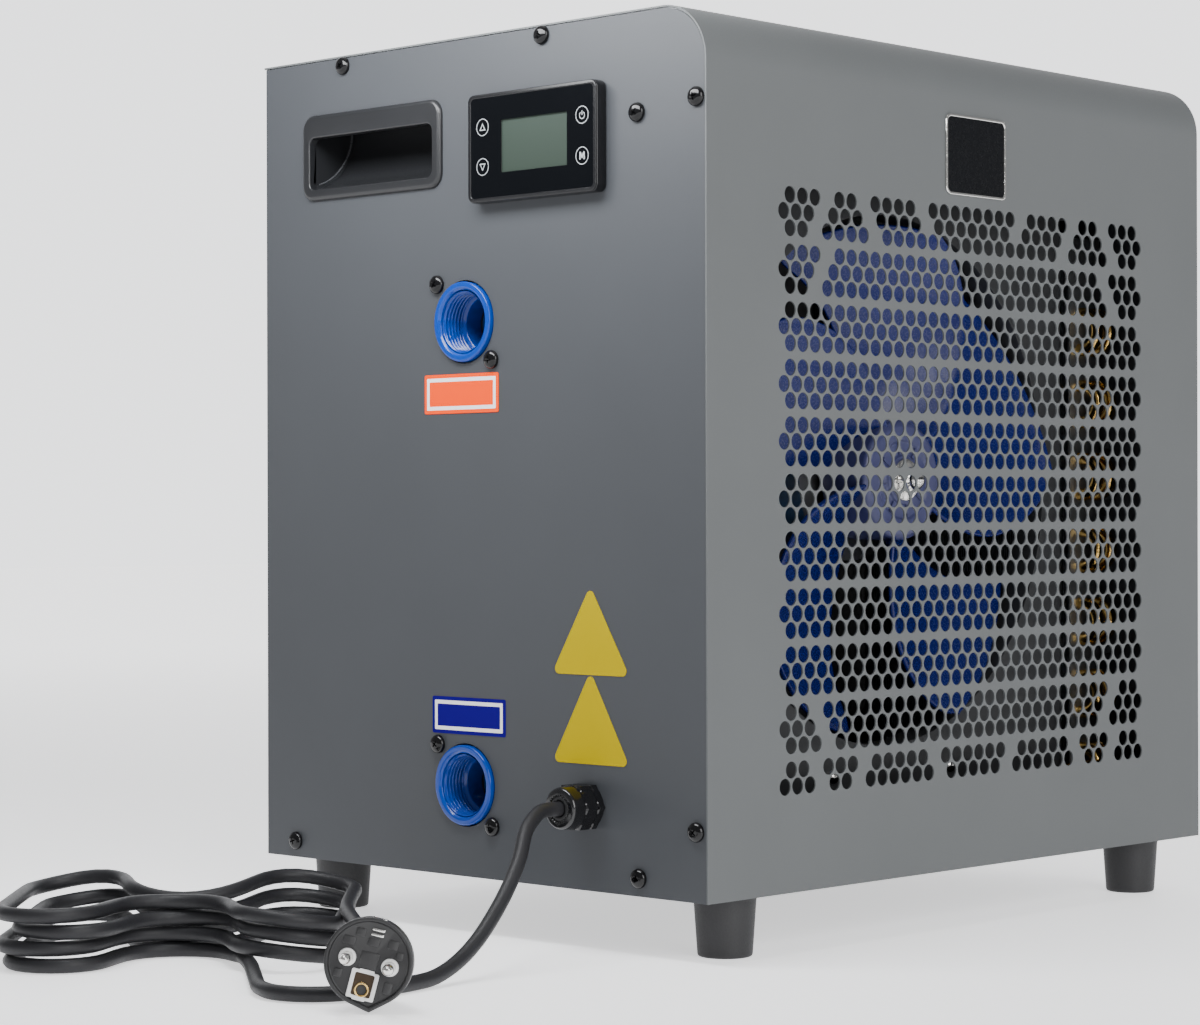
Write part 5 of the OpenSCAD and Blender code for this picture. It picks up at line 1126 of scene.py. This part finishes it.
bm = bmesh.new()
for a, b in (((60.5, 284, 1.2), (62, 314, 345)), ((383, 60.5, 1.2), (413, 62, 345))):
    v = [bm.verts.new(P(x, y, z)) for x in (a[0], b[0]) for y in (a[1], b[1]) for z in (a[2], b[2])]
    for f in ((0, 1, 3, 2), (4, 6, 7, 5), (0, 4, 5, 1), (2, 3, 7, 6), (0, 2, 6, 4), (1, 5, 7, 3)):
        bm.faces.new([v[i] for i in f])
bmesh.ops.recalc_face_normals(bm, faces=bm.faces)
bmesh.ops.bevel(bm, geom=bm.edges, offset=0.0003, segments=2, profile=0.5, affect="EDGES")
new_object("evaporator_end_plates", mesh_from(bm, "evaporator_end_plates", False), "galvanised", slot="fin_metal")

bm = bmesh.new()


def tube_along(pts, r, sides=10):
    rings = []
    for i, p in enumerate(pts):
        d = (pts[min(i + 1, len(pts) - 1)] - pts[max(i - 1, 0)]).normalized()
        n1 = d.cross(Vector((0, 0, 1))).normalized()
        n2 = d.cross(n1)
        rings.append([bm.verts.new(p + n1 * x + n2 * y) for x, y in circle_points(r, sides)])
    for a, b in zip(rings, rings[1:]):
        for k in range(sides):
            bm.faces.new((a[k], a[(k + 1) % sides], b[(k + 1) % sides], b[k]))
    bm.faces.new(rings[0][::-1])
    bm.faces.new(rings[-1])


for row in range(14):
    for share in (0.27, 0.77):
        deep = FIN_DEEP * share
        pts = [(FIN_FROM, FIN_IN + deep), (CORNER[0], FIN_IN + deep)]
        for k in range(1, 9):
            a = pi / 2 - pi / 2 * k / 9
            pts.append((CORNER[0] + (CORNER_R + deep) * cos(a), CORNER[1] + (CORNER_R + deep) * sin(a)))
        pts += [(385 + deep, CORNER[1]), (385 + deep, FIN_FROM)]
        tube_along([P(x, y, 28 + row * 21) for x, y in pts], 0.0035)
new_object("evaporator_tube_runs", mesh_from(bm, "evaporator_tube_runs", False), "copper")


# Refrigerant pipes, seen through the grille and the rear guard
def pipe(name, pts, d, mat="copper", **kw):
    q = [Vector(p) for p in pts]
    out = [q[0]]
    for a, b, c in zip(q, q[1:], q[2:]):
        out += rounded_corner(a, b, c, 0.45, 14, 8)
    out.append(q[-1])
    tube_curve(name, [P(*p) for p in out], d / 2000, mat, **kw)


pipe("discharge_pipe", [(270, 215, 206), (270, 215, 262), (230, 215, 262), (230, 262, 262), (230, 262, 300),
                        (60, 262, 300), (60, 303, 300)], 9.5)
pipe("suction_pipe", [(348, 215, 190), (348, 215, 236), (300, 215, 236), (300, 250, 236), (300, 250, 330),
                      (110, 250, 330), (110, 200, 330), (84.5, 192, 325)], 9.5)
pipe("liquid_pipe", [(398, 57, 40), (398, 46, 40), (360, 46, 40), (360, 120, 22), (130, 120, 22), (130, 166, 22)], 6.4)
pipe("capillary_pipe", [(148, 128, 8), (148, 128, 150), (148, 150, 150), (148, 150, 200)], 5)
pipe("supply_lead", [(-22.5, 79, 42), (23, 79, 42), (23, 79, 364), (70.2, 79, 364)], CORD_D, "cord_rubber",
     stands_for="supply_cable")
bm = bmesh.new()
for at in (P(135.6, 35, 50), P(234.3, 35, 50), P(357, 62, 44)):
    bmesh.ops.create_uvsphere(bm, u_segments=24, v_segments=12, radius=0.0042,
                              matrix=Matrix.Translation(at) @ Matrix.Diagonal((1, 0.7, 1, 1)))
new_object("plate_rivets", mesh_from(bm, "plate_rivets", False), "nickel", slot="zinc", angle=60)

# Floor, brighter far away so that it meets the backdrop
floor_mat = material("floor", (0.92, 0.92, 0.93), 0.6, grain=0.02, grain_size=0.01, tint=0.01, tint_size=0.5,
                     emission=1.0)
ft = floor_mat.node_tree
far = ft.nodes.new("ShaderNodeVectorMath")
far.operation = "LENGTH"
ft.links.new(ft.nodes.new("ShaderNodeTexCoord").outputs["Object"], far.inputs[0])
ft.links.new(map_range(ft, far.outputs["Value"], 0.8, 3.5, 1.0, 1.75, smooth=True),
             ft.nodes["Principled BSDF"].inputs["Emission Strength"])
corners = [(-9, -9, 0), (9, -9, 0), (9, 9, 0), (-9, 9, 0)]
floor = linked("floor", mesh_of(corners, [(0, 1, 2, 3)], "floor", recalc=False))
floor.data.materials.append(floor_mat)

# The room is even and dim, with one wide pale glow behind the object
world = bpy.data.worlds.new("studio")
bpy.context.scene.world = world
world.use_nodes = True
wt = world.node_tree
dot = wt.nodes.new("ShaderNodeVectorMath")
dot.operation = "DOT_PRODUCT"
dot.inputs[1].default_value = look
wt.links.new(wt.nodes.new("ShaderNodeTexCoord").outputs["Generated"], dot.inputs[0])
glow = map_range(wt, dot.outputs["Value"], 0.45, 0.96, 0.31, 2.3, smooth=True)
wt.links.new(glow, wt.nodes["Background"].inputs["Strength"])
wt.nodes["Background"].inputs["Color"].default_value = (0.97, 0.98, 1.0, 1)


def area(name, at, look_at, size, power, color=(1, 1, 1), size_y=None):
    o = linked(name, bpy.data.lights.new(name, "AREA"))
    o.data.shape = "RECTANGLE"
    o.data.size = size
    o.data.size_y = size_y or size
    o.data.energy = power
    o.data.color = color
    o.location = at
    o.rotation_euler = (Vector(look_at) - Vector(at)).to_track_quat("-Z", "Y").to_euler()
    o.visible_camera = False


area("key_front", (-0.6, -2.4, 1.1), (0, 0, 0.25), 1.6, 52)
area("raking_left", (-0.38, -0.03, 0.54), (-0.2, -0.01, 0.36), 0.36, 2.9, (0.96, 0.98, 1.0), size_y=0.12)
area("overhead", (0.0, 0.5, 2.7), (0, 0.05, 0), 2.4, 15)
